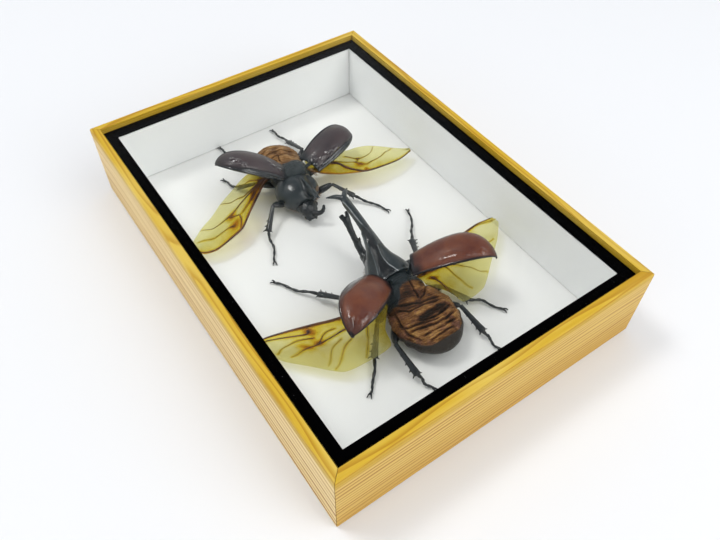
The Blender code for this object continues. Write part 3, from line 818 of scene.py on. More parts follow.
# opened wing cases: a quarter shell, turned by a yaw, a lift and a roll about its hinge
wingCases = {
    "large_beetle": {
        # the last of these is how dark the painted shade along its edges is, broken how uneven its dents are
        "length": 29.4, "width": 11.6, "height": 8.2, "paintedEdgeShade": 0.52,
        # pivot, then yaw, lift and roll in degrees
        "left": ((-6.6, 3.0, 13.4), 55.0, 23.0, 43.0),
        "right": ((7.3, 1.5, 15.1), 59.0, 19.0, 29.0),
        "skin": chestnutShell, "slot": "chestnut_cuticle", "broken": 0.1,
        # along, over, their spreads, height, gloss
        "marks_left": (
            (0.955, 0.61, 0.035, 0.15, 0.75, 1.0), (0.945, 0.40, 0.028, 0.06, -0.95, 0.3),
            (0.92, 0.20, 0.035, 0.09, 0.55, 0.8), (0.84, 0.14, 0.05, 0.05, 0.45, 1.0),
            (0.77, 0.05, 0.05, 0.05, 0.45, 1.0), (0.62, 0.30, 0.12, 0.14, -0.10, 0.0),
        ),
        "marks_right": (
            (0.56, 0.13, 0.20, 0.07, 0.50, 0.9), (0.87, 0.15, 0.035, 0.09, 0.45, 0.8),
            (0.60, 0.40, 0.2, 0.14, -0.12, 0.0),
        ),
        "flange_left": (0.16, 0.12, 0.80),  # share over, from and to along
        "flange_right": (0.07, 0.10, 0.80),
    },
    "small_beetle": {
        "length": 27.0, "width": 10.6, "height": 7.4, "paintedEdgeShade": 0.5,
        "left": ((-8.2, 0.6, 11.6), 62.0, 7.0, 23.0),
        "right": ((3.6, 0.4, 12.2), 79.0, 29.0, 34.0),
        "skin": plumShell, "slot": "plum_cuticle", "broken": 1.4,
        "marks_left": (
            (0.10, 0.50, 0.04, 0.05, 0.55, 1.0), (0.17, 0.66, 0.04, 0.05, 0.60, 1.0),
            (0.31, 0.66, 0.05, 0.05, 0.60, 1.0), (0.24, 0.80, 0.04, 0.05, -0.50, 0.8),
            (0.36, 0.78, 0.05, 0.04, 0.55, 1.0), (0.05, 0.66, 0.03, 0.05, 0.50, 1.0),
            (0.12, 0.84, 0.03, 0.04, 0.50, 1.0), (0.46, 0.74, 0.05, 0.04, 0.45, 1.0),
            (0.5, 0.8, 0.2, 0.1, 0.0, 0.5),
        ),
        "marks_right": (
            (0.30, 0.44, 0.03, 0.04, 0.28, 1.0), (0.22, 0.54, 0.04, 0.05, 0.30, 1.0),
            (0.12, 0.60, 0.04, 0.05, 0.28, 1.0), (0.79, 0.62, 0.04, 0.06, 0.45, 1.0),
            (0.72, 0.74, 0.05, 0.05, 0.45, 1.0), (0.86, 0.54, 0.03, 0.07, 0.40, 1.0),
            (0.92, 0.60, 0.02, 0.05, -0.35, 0.6), (0.5, 0.75, 0.25, 0.12, 0.0, 0.4),
        ),
        "flange_left": (0.10, 0.05, 0.85),
        "flange_right": (0.10, 0.05, 0.85),
    },
    "wall": 0.55,
    "widest": 0.58,
    "highest": 0.45,
    "grid": (96, 70),
    "ripples": ((0.10, 0.22), (0.03, 1.1)),
}


# the share of its full width or height that a wing case has: rounded off behind its fullest place
def fullness(along, fullest, power):
    if along < fullest:
        return 0.72 + 0.28 * math.sin(math.pi / 2 * along / fullest)
    return math.sqrt(max(0.0, 1.0 - ((along - fullest) / (1.0 - fullest)) ** power))


def wingCasePoint(setting, along, over):
    wide = fullness(along, wingCases["widest"], 2.2)
    high = fullness(along, wingCases["highest"], 2.4)
    angle = math.pi / 2 * over
    return Vector((
        setting["width"] * (max(wide, 0.03) * math.sin(angle) ** 0.9 - 0.45),
        -setting["length"] * along,
        setting["height"] * (max(high, 0.03) * math.cos(angle) - 0.4),
    ))


facings = {"left": -1.0, "right": 1.0}


# a point of the closed wing case, carried to its opened place
def opened(setting, side, point):
    pivot, yaw, lift, roll = setting[side]
    turned = (
        Matrix.Rotation(math.radians(yaw), 3, "Z")
        @ Matrix.Rotation(-math.radians(lift), 3, "X")
        @ Matrix.Rotation(-math.radians(roll), 3, "Y")
    ) @ point
    turned.x *= facings[side]
    return Vector(pivot) + turned


# the dark rim, a darker corner at the base by the suture, and painted shade along the edges, 0 to 1
def rimAndPaintedShadeAt(along, over, paintedShadeStrength):
    corner = (1.0 - fade(along, 0.06, 0.24)) * (1.0 - fade(over, 0.10, 0.45))
    paintedEdgeShade = max(
        1.0 - fade(along, 0.05, 0.26), 1.0 - fade(over, 0.0, 0.16), fade(over, 0.68, 0.92),
        fade(along, 0.86, 0.98),
    )
    return max(
        fade(over, 0.955, 0.985), 1.0 - fade(over, 0.01, 0.05), fade(along, 0.985, 0.998),
        1.0 - fade(along, 0.02, 0.09), 0.85 * corner, paintedShadeStrength * paintedEdgeShade,
    )


def addWingCase(beetle, side):
    name = f"{beetle}_wing_case_{side}"
    setting = wingCases[beetle]
    wideFlange, flangeFrom, flangeTo = setting["flange_" + side]
    bm = bmesh.new()
    columns, rows = wingCases["grid"]
    bmesh.ops.create_grid(bm, x_segments=columns, y_segments=rows, size=1.0)
    rimAndPaintedShadeLayer, flangeLayer, glossLayer = (bm.verts.layers.float.new(key) for key in ("rimAndPaintedShade", "flange", "gloss"))
    for vert in bm.verts:
        along = math.sin((vert.co.x + 1.0) / 2.0 * math.pi / 2.0)
        over = (vert.co.y + 1.0) / 2.0
        point = wingCasePoint(setting, along, over)
        outward = Vector((math.sin(math.pi / 2 * over), 0.0, math.cos(math.pi / 2 * over)))
        onFlange = fade(along, flangeFrom - 0.1, flangeFrom + 0.1)
        onFlange *= 1.0 - fade(along, flangeTo - 0.25, flangeTo + 0.05)
        border = 0.93 - wideFlange * onFlange
        flange = fade(over, border - 0.01, border + 0.05) * onFlange
        bead = 0.26 * hump(over, 0.98, 0.02) + 0.12 * hump(over, 0.0, 0.02) + 0.20 * hump(along, 0.0, 0.02)
        gutter = 0.30 * hump(over, border, 0.03) + 0.16 * hump(over, 0.05, 0.02)
        height = ripples(point, wingCases["ripples"], bead - gutter)
        gloss = 0.6 * flange + 0.5 * fade(over, 0.9, 0.97)
        for middle, cross, long, wide, size, shine in setting["marks_" + side]:
            spot = hump(along, middle, long) * hump(over, cross, wide)
            height += size * spot * (1.0 + setting["broken"] * noise.noise(point * 1.1))
            gloss += shine * min(1.0, 1.6 * spot)
        vert[rimAndPaintedShadeLayer] = rimAndPaintedShadeAt(along, over, setting["paintedEdgeShade"])
        vert[flangeLayer] = flange
        vert[glossLayer] = min(gloss, 1.0)
        vert.co = opened(setting, side, point + outward * height)
    if side == "right":
        bmesh.ops.reverse_faces(bm, faces=bm.faces)
    piece = addPiece(name + "_shell", meshOf(bm, name), beetle, setting["skin"], setting["slot"], name)
    addWall(piece, wingCases["wall"])


for beetle in beetles:
    for side in ("left", "right"):
        addWingCase(beetle, side)
print("wing cases made")

# body: dried wrinkled abdomen with a smooth dark end, thorax, and the shield between the wing cases
bodies = {
    "large_beetle": {
        # centre, half sizes
        "abdomen": ((0.2, -16.4, 7.1), (12.4, 15.0, 7.0)),
        "thorax": ((0.0, -3.2, 7.0), (9.4, 7.6, 6.4)),
        "shield": ((0.6, -0.8, 12.5), (3.7, 2.4, 1.5)),
        "shieldRidge": ((-2.6, -1.3), (1.6, -1.3)),
        # the smooth dark plates reach up to this height at each y
        "plates": ((-28.7, 11.3), (-27.9, 10.0), (-25.9, 9.5), (-21.7, 9.0), (-17.0, 7.2), (-12.0, 5.6)),
        "shellEnd": ((-9.0, -8.5), (-6.2, -8.8), (-3.6, -6.6), (-2.2, -4.2), (0.0, -3.2), (4.0, -3.2),
                     (7.0, -4.2), (9.5, -5.5)),
        # depth, half width, line in plan
        "creases": (
            (0.55, 0.40, ((2.9, -2.9), (2.5, -6.3), (0.6, -11.9))),
            (0.50, 0.40, ((7.4, -7.4), (3.1, -11.2), (0.6, -11.9))),
            (0.70, 0.45, ((-8.1, -8.2), (-4.5, -10.9), (-0.2, -13.6), (3.4, -13.7), (8.7, -14.2))),
            (0.60, 0.40, ((-8.7, -9.9), (-5.4, -14.0), (-0.7, -14.8), (4.3, -15.4), (9.6, -15.8))),
            (1.20, 0.70, ((-3.6, -18.5), (-1.9, -18.3), (1.2, -18.2), (5.1, -17.7), (9.6, -18.0))),
            (1.05, 0.65, ((-5.6, -18.9), (-1.8, -20.3), (2.0, -20.8), (6.7, -19.6), (9.6, -18.4))),
            (0.95, 1.30, ((-5.2, -18.9), (-1.3, -18.9), (4.1, -18.7), (8.8, -17.9))),
            (0.60, 0.40, ((-10.7, -16.3), (-9.3, -18.4), (-5.6, -19.9), (-1.7, -21.6), (3.0, -22.1))),
            (0.70, 0.45, ((-10.2, -19.8), (-5.9, -21.6), (-1.9, -23.0), (3.3, -23.3), (9.9, -21.4))),
            (0.60, 0.40, ((-7.6, -24.0), (-1.4, -24.9), (3.6, -25.0), (8.2, -24.3))),
            (0.50, 0.35, ((-6.4, -26.6), (-1.4, -26.9), (5.4, -26.6))),
            (0.55, 0.40, ((-9.2, -10.5), (-9.9, -13.8), (-10.4, -15.9), (-10.3, -20.0), (-9.0, -23.1),
                          (-7.8, -25.7))),
        ),
        "slope": (0.18, 0.0155),  # the wrinkles' lean and bend across the back
        # painted shade on the front of the abdomen by the thorax
        "dim": ((-5.5, -6.5), 7.5, 0.34),  # a darker shoulder: place, spread, how much
        "dull": (0.020, 0.030, 0.034),
        "fold": 1.0,
        # painted shade deep in the creases; then dark, tan and a palest tan that is partly painted highlight
        # on the crests
        "paintedCreaseShade": (0.006, 0.004, 0.002),
        "colours": ((0.058, 0.022, 0.008), (0.212, 0.090, 0.023), (0.43, 0.235, 0.072)),
        "blush": (0.235, 0.100, 0.068),
    },
    "small_beetle": {
        "abdomen": ((1.6, -12.0, 5.9), (10.3, 11.2, 5.5)),
        "thorax": ((0.0, -2.4, 6.8), (8.6, 6.8, 6.2)),
        "shield": ((-0.6, 0.8, 11.6), (5.2, 4.0, 2.6)),
        "shieldRidge": ((-2.6, -2.6), (1.6, -2.6)),
        "plates": ((-23.4, 9.6), (-22.4, 8.4), (-20.0, 7.6), (-16.0, 6.6), (-10.0, 5.0)),
        "shellEnd": ((-9.0, -6.0), (-4.0, -5.4), (0.0, -4.0), (4.0, -4.6), (9.0, -6.0)),
        "creases": (
            (0.50, 0.40, ((-7.0, -9.0), (-2.0, -11.4), (2.6, -11.6), (8.0, -10.0))),
            (0.60, 0.45, ((-6.4, -12.6), (-1.0, -14.6), (3.4, -14.8), (8.6, -13.0))),
            (0.50, 0.40, ((-5.4, -16.2), (0.0, -17.8), (4.0, -17.8), (8.2, -16.0))),
            (0.45, 0.35, ((-3.6, -19.4), (1.0, -20.6), (6.0, -19.6))),
            (0.45, 0.40, ((1.4, -5.0), (1.8, -9.0), (1.2, -11.4))),
        ),
        "slope": (0.05, 0.02),
        "dim": ((0.0, -3.0), 3.0, 0.2),
        "dull": (0.052, 0.064, 0.068),
        "fold": 0.75,
        # painted shade deep in the creases; the palest colour is partly painted highlight on the crests
        "paintedCreaseShade": (0.014, 0.006, 0.002),
        "colours": ((0.11, 0.046, 0.014), (0.32, 0.160, 0.052), (0.52, 0.33, 0.15)),
        "blush": (0.27, 0.18, 0.11),
    },
    "hinge": ((0.0, 0.9), (0.55, 0.8), (1.0, 1.1)),  # share of the way to the wing case, radius
    "yoke": ((-5.0, 1.6, -0.9), (0.0, 2.1, 0.2), (5.0, 1.6, -0.9)),  # about the shield, across its front
    "voxel": 0.22,
    "ripples": ((0.14, 0.7), (0.07, 2.1)),
    "ringSpacing": 4.3,  # mm between the dark end's rings
    # pace across, pace along, seed and sharpness of the folds, the creases and the crackle
    "puckers": ((0.05, 0.42, 7.0, 4.0), (0.09, 1.15, 1.0, 4.2), (0.22, 2.2, 4.0, 3.6)),
    "end": ((0.014, 0.012, 0.011), (0.048, 0.038, 0.030)),
}


def bodyMaterial(name, setting):
    paintedCreaseShade, dull, blush = (setting[key] for key in ("paintedCreaseShade", "dull", "blush"))
    dark, tan, paleTanAndPaintedHighlight = setting["colours"]
    material, tree, shader = newMaterial(name, 0.5, 0.28)
    place = objectPoint(tree)
    foldToneAndPaintedLight, shell, plate = (attributeOf(tree, key) for key in ("fold", "shell", "plate"))
    grainPlace = attributeOf(tree, "grain", "Vector")
    fine = noiseAt(tree, place, 1.3, 6.0, 0.7)
    blotch = noiseAt(tree, place, 0.28, 3.0, 0.6)
    streak = noiseAt(tree, grainPlace, 1.0, 6.0, 0.75)
    hair = greyRamp(tree, noiseAt(tree, grainPlace, 2.3, 2.0), 0.40, 0.52)
    # the fold tone lays painted shade in creases and painted highlight on crests, with random variation on
    # top
    tone = plusSwing(tree, plusSwing(tree, foldToneAndPaintedLight, fine, 0.8), streak, 1.0)
    skin = ramp(tree, tone, [(0.10, paintedCreaseShade), (0.34, dark), (0.62, tan), (0.95, paleTanAndPaintedHighlight)])
    rosy = ramp(tree, tone, [(0.10, paintedCreaseShade), (0.40, dark), (0.85, blush)])
    skin = mixColour(tree, greyRamp(tree, blotch, 0.46, 0.66), skin, rosy)
    skin = mixColour(tree, plusPart(tree, 0.6, hair, -0.6), skin, dark)
    end = mixColour(tree, fine, *bodies["end"])
    black = mixColour(tree, greyRamp(tree, fine, 0.25, 0.65), cuticle["black"], dull)
    colour = mixColour(tree, shell, mixColour(tree, plate, skin, end), black)
    smooth = calc(tree, "MAXIMUM", plate, shell)
    finish = plusPart(tree, plusPart(tree, 0.38, fine, 0.3), smooth, -0.18)
    wire(tree, shader, {"Base Color": colour, "Roughness": finish})
    relief = calc(tree, "ADD", fine, calc(tree, "ADD", streak, hair))
    addBump(tree, shader, relief, 0.6, 0.0002)
    return material


# 0 along creases, 1 on the crests between them
def pucker(x, long, across, lengthways, seed, sharpness):
    value = abs(noise.noise(Vector((x * across + seed, long * lengthways, seed))))
    return min(1.0, value * sharpness) ** 0.6


# how deep the nearest crease cuts; its lips stand a little proud
def creaseCut(x, y, creases):
    cut = 0.0
    for low, wide, line in creases:
        gap, along = fromLine(x, y, line)
        if gap < wide * 2.2:
            ends = fade(along, 0.0, 0.12) * (1.0 - fade(along, 0.88, 1.0))
            cut = max(cut, low * ends * max(0.0, 1.0 - gap / (wide * 1.4)))
            cut -= 0.22 * low * ends * hump(gap, wide * 1.7, wide * 0.4)
    return cut


def addHinge(bm, beetle, side):
    thorax, half = bodies[beetle]["thorax"]
    case = wingCases[beetle]
    far = opened(case, side, wingCasePoint(case, 0.04, 0.45) * 0.9)
    near = Vector((thorax[0] + facings[side] * half[0] * 0.55, thorax[1] + 3.4, thorax[2] + half[2] * 0.62))
    path = [(*near.lerp(far, share), radius, radius * 0.8) for share, radius in bodies["hinge"]]
    addTube(bm, path, 14, 18, 2.0)


def addBody(beetle):
    name = beetle + "_body"
    setting = bodies[beetle]
    centre, half = setting["abdomen"]
    shield, shieldHalf = setting["shield"]
    slope, bend = setting["slope"]
    (dimX, dimY), spread, dim = setting["dim"]
    bm = bmesh.new()
    addLump(bm, centre, half, 60, 48)
    addLump(bm, *setting["thorax"])
    for vert in addLump(bm, shield, shieldHalf, power=0.6):
        taper = 1.0 - 0.3 * max(0.0, (shield[1] - vert.co.y) / shieldHalf[1])
        vert.co.x = shield[0] + (vert.co.x - shield[0]) * taper
    yoke = [(shield[0] + x, y, shield[2] + z, 0.8, 0.7) for x, y, z in bodies["yoke"]]
    addTube(bm, yoke, 14, 24, 2.0)
    for side in facings:
        addHinge(bm, beetle, side)
    mesh = fuse(bm, name, bodies["voxel"], 3)
    tones = {"plate": [], "shell": []}
    grain = []

    def folded(point, normal):
        x, y, z = point
        offset = x - centre[0]
        plateTop = rowAt(setting["plates"], y)[1]
        shellEnd = rowAt(setting["shellEnd"], x)[1]
        plate = 1.0 - fade(z, plateTop - 0.2, plateTop + 0.2)
        shell = fade(y, shellEnd - 0.5, shellEnd + 0.5)
        tones["plate"].append(plate)
        tones["shell"].append(shell)
        dried = (1.0 - plate) * (1.0 - shell)
        long = y + slope * offset - bend * offset * offset
        long += 1.2 * noise.noise(Vector((x * 0.12, y * 0.10, 3.0)))
        grain.extend((x * 0.22, long * 2.6, z * 0.9))
        skin = ripples(point, bodies["ripples"])
        rings = 0.18 * math.cos(y * 2.0 * math.pi / bodies["ringSpacing"])
        rings *= fade(y, centre[1] - half[1] + 1.0, centre[1] - 6.0)
        depth = shell * skin + (1.0 - shell) * plate * (0.4 * skin + rings)
        if z > shield[2]:
            depth += 0.35 * max(0.0, 1.0 - fromLine(x, y, setting["shieldRidge"])[0] / 0.5)
        if dried < 0.01:
            return depth, 0.4
        fold, crease, crackle = (pucker(x, long, *row) for row in bodies["puckers"])
        swell = noise.noise(point * 0.28)
        wander = 0.28 * noise.noise(point * 0.4)
        cut = creaseCut(x + wander, y + wander, setting["creases"])
        wrinkles = 0.30 * fold + 0.22 * crease + 0.12 * crackle - 0.54 + 0.55 * swell
        depth += setting["fold"] * dried * wrinkles
        depth -= 1.1 * dried * cut
        depth -= 0.35 * (1.0 - shell) * hump(z, plateTop + 0.25, 0.3)
        # the tone darkens creases and wrinkles as painted shade and lightens the swells as painted highlight
        tone = 0.27 + 0.17 * fold + 0.17 * crease + 0.14 * crackle + 0.40 * swell - 0.9 * max(cut, -0.15)
        # painted shade on the shoulder by the thorax
        tone -= dim * hump(math.hypot(x - dimX, y - dimY), 0.0, spread)
        return depth, tone

    carve(mesh, folded, "fold")
    for key, values in tones.items():
        setAttribute(mesh, key, values)
    setAttribute(mesh, "grain", grain, "FLOAT_VECTOR", "vector")
    addPiece(name + "_skin", mesh, beetle, bodyMaterial(beetle + "Body", setting), "dried_abdomen", name)


for beetle in beetles:
    addBody(beetle)
print("bodies made")

# hind wings: edges as the solids have them, veins as shares out and back
hindWings = {
    "large_beetle_left": {
        "leading": (
            (-7.5, -1.5, 9.8), (-17.0, -1.8, 10.4), (-26.0, -0.8, 10.4), (-35.2, 3.1, 9.2),
            (-41.1, 5.4, 8.4), (-49.9, 8.9, 6.5), (-53.6, 9.2, 6.0),
        ),
        "trailing": (
            (-8.5, -6.0, 9.6), (-14.6, -13.0, 9.0), (-16.8, -19.4, 8.0), (-25.3, -19.3, 6.5),
            (-34.9, -17.4, 5.5), (-42.9, -9.1, 5.5), (-48.7, -2.5, 5.0), (-53.2, 4.0, 5.5),
        ),
        "veins": (
            (0.78, ((0.0, 0.03), (0.34, 0.02), (0.51, 0.02), (0.67, 0.02), (0.83, 0.02), (1.0, 0.05))),
            (0.48, ((0.56, 0.12), (0.60, 0.19), (0.70, 0.21), (0.86, 0.15), (0.98, 0.30))),
            (0.22, ((0.57, 0.29), (0.70, 0.34), (0.80, 0.52), (0.87, 0.74))),
            (0.60, ((0.10, 0.22), (0.28, 0.27), (0.40, 0.32), (0.46, 0.36), (0.57, 0.41))),
            (0.26, ((0.57, 0.41), (0.65, 0.51), (0.79, 0.80))),
            (0.26, ((0.57, 0.41), (0.47, 0.24), (0.41, 0.21))),
            (0.22, ((0.40, 0.52), (0.48, 0.65), (0.60, 0.96))),
            (0.20, ((0.18, 0.30), (0.29, 0.50), (0.35, 0.69), (0.43, 0.93))),
            (0.16, ((0.44, 0.45), (0.54, 0.60), (0.62, 0.90))),
        ),
        "patches": ((0.56, 0.15, 0.09), (0.57, 0.40, 0.07), (0.08, 0.2, 0.1), (0.66, 0.50, 0.10)),
        "amber": 0.07,
    },
    "large_beetle_right": {
        "leading": (
            (7.5, -1.5, 10.4), (20.0, 1.4, 10.6), (30.0, 5.2, 9.4), (36.7, 7.0, 8.0), (45.1, 8.3, 7.2),
            (52.6, 7.6, 7.0),
        ),
        "trailing": (
            (8.5, -6.0, 9.8), (14.6, -13.0, 8.2), (16.8, -18.4, 6.6), (27.5, -16.9, 5.6),
            (38.8, -8.5, 5.8), (47.5, -1.9, 6.0), (53.4, 3.8, 6.4),
        ),
        "veins": (
            (0.50, ((0.0, 0.03), (0.35, 0.02), (0.65, 0.03), (0.85, 0.03), (1.0, 0.05))),
            (0.34, ((0.40, 0.05), (0.55, 0.05), (0.68, 0.05), (0.82, 0.09), (0.98, 0.36))),
            (0.24, ((0.10, 0.26), (0.23, 0.32), (0.37, 0.42), (0.50, 0.67), (0.59, 0.98))),
            (0.20, ((0.22, 0.34), (0.31, 0.55), (0.42, 0.87))),
            (0.20, ((0.34, 0.30), (0.50, 0.42), (0.66, 0.55), (0.80, 0.85))),
            (0.50, ((0.08, 0.50), (0.12, 0.74), (0.16, 0.97))),
        ),
        "patches": ((0.09, 0.55, 0.07), (0.05, 0.2, 0.08)),
        "amber": 0.03,
    },
    "small_beetle_right": {
        "leading": (
            (7.0, -0.6, 9.8), (11.8, 0.2, 10.2), (17.6, 6.6, 9.8), (23.0, 12.4, 9.0), (28.4, 18.5, 8.0),
            (34.5, 21.0, 7.0), (40.7, 22.9, 6.0), (45.4, 21.9, 5.0), (48.6, 19.0, 4.8),
        ),
        "trailing": (
            (7.6, -5.0, 9.4), (15.4, -8.8, 8.8), (19.7, -7.3, 8.0), (24.3, -4.7, 7.0), (31.4, -0.1, 6.0),
            (37.5, 4.7, 5.0), (43.1, 8.3, 4.5), (49.0, 14.6, 4.6),
        ),
        "veins": (
            (0.72, ((0.0, 0.03), (0.25, 0.02), (0.38, 0.02), (0.50, 0.02), (0.62, 0.02), (0.80, 0.03),
                    (1.0, 0.08))),
            (0.24, ((0.14, 0.19), (0.19, 0.57), (0.28, 0.78), (0.38, 0.97))),
            (0.34, ((0.16, 0.22), (0.32, 0.44), (0.41, 0.58), (0.51, 0.80), (0.58, 0.97))),
            (0.40, ((0.16, 0.22), (0.32, 0.35), (0.43, 0.47), (0.52, 0.50), (0.61, 0.52), (0.73, 0.61),
                    (0.86, 0.94))),
            (0.26, ((0.48, 0.30), (0.53, 0.43), (0.56, 0.49))),
            (0.34, ((0.48, 0.29), (0.48, 0.18), (0.51, 0.07))),
            (0.24, ((0.56, 0.20), (0.60, 0.25), (0.67, 0.30), (0.79, 0.40), (0.92, 0.53))),
            (0.26, ((0.10, 0.14), (0.25, 0.18), (0.38, 0.22), (0.46, 0.27))),
        ),
        "patches": ((0.54, 0.22, 0.10), (0.54, 0.45, 0.09), (0.12, 0.2, 0.14), (0.27, 0.20, 0.09)),
        "amber": 0.03,
    },
    "small_beetle_left": {
        "leading": (
            (-7.0, 0.6, 9.6), (-12.0, 5.2, 9.2), (-19.0, 8.2, 8.6), (-26.7, 10.6, 8.6), (-32.3, 11.1, 8.0),
            (-40.9, 10.0, 7.0), (-48.0, 8.1, 6.0), (-54.3, 4.9, 5.0),
        ),
        "trailing": (
            (-8.0, -5.0, 9.4), (-18.0, -6.0, 9.4), (-26.9, -3.2, 9.4), (-32.2, -4.3, 8.5),
            (-38.0, -3.9, 7.5), (-44.9, -1.2, 6.5), (-51.5, 1.9, 5.5), (-54.0, 3.2, 5.0),
        ),
        "veins": (
            (0.85, ((0.10, 0.42), (0.23, 0.40), (0.32, 0.22), (0.45, 0.03), (0.57, 0.02), (0.71, 0.02),
                    (0.85, 0.02), (1.0, 0.1))),
            (0.26, ((0.28, 0.67), (0.40, 0.52), (0.47, 0.51), (0.56, 0.59), (0.60, 0.87), (0.61, 0.96))),
            (0.26, ((0.52, 0.23), (0.59, 0.32), (0.67, 0.47), (0.73, 0.72), (0.77, 0.90))),
            (0.34, ((0.42, 0.50), (0.41, 0.39), (0.37, 0.38))),
            (0.24, ((0.37, 0.38), (0.45, 0.26), (0.52, 0.23))),
            (0.24, ((0.20, 0.52), (0.28, 0.46), (0.37, 0.38))),
        ),
        "patches": ((0.43, 0.26, 0.09), (0.42, 0.50, 0.04), (0.50, 0.10, 0.05), (0.16, 0.4, 0.10)),
        "amber": -0.04,
    },
    "wall": 0.16,
    "grid": (120, 60),
    # thin to thick: place on the scale, what it lets through, its own colour, how much of it is seen
    "membrane": (
        (0.10, (0.955, 0.94, 0.70), (0.62, 0.58, 0.28), 0.14),
        (0.38, (0.90, 0.80, 0.22), (0.58, 0.46, 0.06), 0.18),
        (0.68, (0.74, 0.44, 0.05), (0.38, 0.18, 0.012), 0.35),
        (0.95, (0.20, 0.07, 0.03), (0.07, 0.024, 0.012), 0.80),
    ),
    "vein": (0.028, 0.010, 0.009),
    "veinPale": (0.16, 0.055, 0.012),
    "veinLift": 0.02,
    "spotSteps": 40,  # places along a vein that colour the membrane
    "veinSteps": 12,
}


def edgePoint(points, share):
    first, step = stretchAt(points, share)
    straight = Vector(points[first]).lerp(Vector(points[first + 1]), step)
    return straight.lerp(smoothPoint(points, share), 0.6)


def wingPoint(setting, out, back):
    point = edgePoint(setting["leading"], out).lerp(edgePoint(setting["trailing"], out), back)
    pleat = 0.32 * math.sin(back * 19.0 + out * 5.0) * fade(out, 0.05, 0.35) * fade(back, 0.02, 0.25)
    crumple = 0.35 * noise.noise(Vector((point.x * 0.11, point.y * 0.16, 2.0)))
    point.z += 0.9 * math.sin(math.pi * back) + pleat + crumple * fade(back, 0.0, 0.2)
    return point


def veinSpots(setting):
    steps = hindWings["spotSteps"]
    spots = []
    for radius, course in setting["veins"]:
        for step in range(steps + 1):
            out, back = smoothPoint(course, step / steps)
            spots.append((wingPoint(setting, out, back).xy, radius))
    return spots


def membraneMaterial():
    material, tree, shader = newMaterial("wingMembrane", 0.32)
    place = objectPoint(tree)
    cloud = noiseAt(tree, place, 0.16, 4.0, 0.6)
    fine = noiseAt(tree, place, 1.3, 5.0, 0.65)
    tone = plusSwing(tree, attributeOf(tree, "vein"), cloud, 0.45)
    stops = hindWings["membrane"]
    through = ramp(tree, tone, [(at, colour) for at, colour, _, _ in stops])
    own = ramp(tree, tone, [(at, colour) for at, _, colour, _ in stops])
    seen = greyBand(tree, tone, [(at, share) for at, _, _, share in stops])
    wire(tree, shader, {"Base Color": own, "Roughness": plusPart(tree, 0.22, fine, 0.25)})
    addBump(tree, shader, fine, 0.2, 0.0002)
    film = addNode(tree, "ShaderNodeBsdfTransparent", [through])
    mixed = addNode(tree, "ShaderNodeMixShader", [seen, film.outputs[0], shader.outputs[0]])
    wire(tree, tree.nodes["Material Output"], {"Surface": mixed.outputs[0]})
    return material


def veinMaterial():
    material, tree, shader = newMaterial("wingVein", 0.35)
    place = objectPoint(tree)
    cloud = greyRamp(tree, noiseAt(tree, place, 0.28, 4.0, 0.6), 0.42, 0.66)
    wire(tree, shader, {"Base Color": mixColour(tree, cloud, hindWings["vein"], hindWings["veinPale"])})
    addBump(tree, shader, noiseAt(tree, place, 2.5), 0.15, 0.0001)
    return material


membrane = membraneMaterial()
veinSkin = veinMaterial()


# how thick and amber the membrane looks at a place: near veins, in patches, at its root and front edge
def thicknessAt(setting, spots, point, out, back):
    closest = min(((spot - point.xy).length_squared / (0.2 + radius)) for spot, radius in spots)
    glow = math.exp(-closest / 0.5)
    knots = sum(
        hump(math.hypot((out - o) * 1.9, back - b), 0.0, spread) for o, b, spread in setting["patches"]
    )
    root = 0.26 * (1.0 - fade(out, 0.10, 0.5))
    edge = 0.28 * (1.0 - fade(back, 0.0, 0.55)) + 0.30 * (1.0 - fade(back, 0.02, 0.08))
    edge *= 1.0 - 0.45 * fade(out, 0.6, 0.85)
    return min(1.0, setting["amber"] + 0.34 * glow + 0.5 * min(1.0, knots) + edge + root)


def addMembrane(beetle, side, node, setting):
    spots = veinSpots(setting)
    bm = bmesh.new()
    columns, rows = hindWings["grid"]
    bmesh.ops.create_grid(bm, x_segments=columns, y_segments=rows, size=1.0)
    near = bm.verts.layers.float.new("vein")
    for vert in bm.verts:
        out, back = (vert.co.x + 1.0) / 2.0, (1.0 - vert.co.y) / 2.0
        point = wingPoint(setting, out, back)
        vert[near] = thicknessAt(setting, spots, point, out, back)
        vert.co = point
    if side == "left":
        bmesh.ops.reverse_faces(bm, faces=bm.faces)
    piece = addPiece(node + "_membrane", meshOf(bm, node), beetle, membrane, "wing_membrane", node)
    addWall(piece, hindWings["wall"])


def addVeins(beetle, node, setting):
    steps = hindWings["veinSteps"]
    bm = bmesh.new()
    for radius, course in setting["veins"]:
        path = []
        for step in range(steps + 1):
            out, back = smoothPoint(course, step / steps)
            taper = radius * (1.0 - 0.65 * step / steps) * 0.75
            x, y, z = wingPoint(setting, out, back)
            path.append((x, y, z + hindWings["veinLift"], taper, taper * 0.75))
        addTube(bm, path, 10, 60, 2.5)
    addPiece(node + "_veins", meshOf(bm, node), beetle, veinSkin, "wing_membrane", node)


for beetle in beetles:
    for side in facings:
        node = f"{beetle}_hind_wing_{side}"
        setting = hindWings[f"{beetle}_{side}"]
        addMembrane(beetle, side, node, setting)
        addVeins(beetle, node, setting)
print("hind wings made")

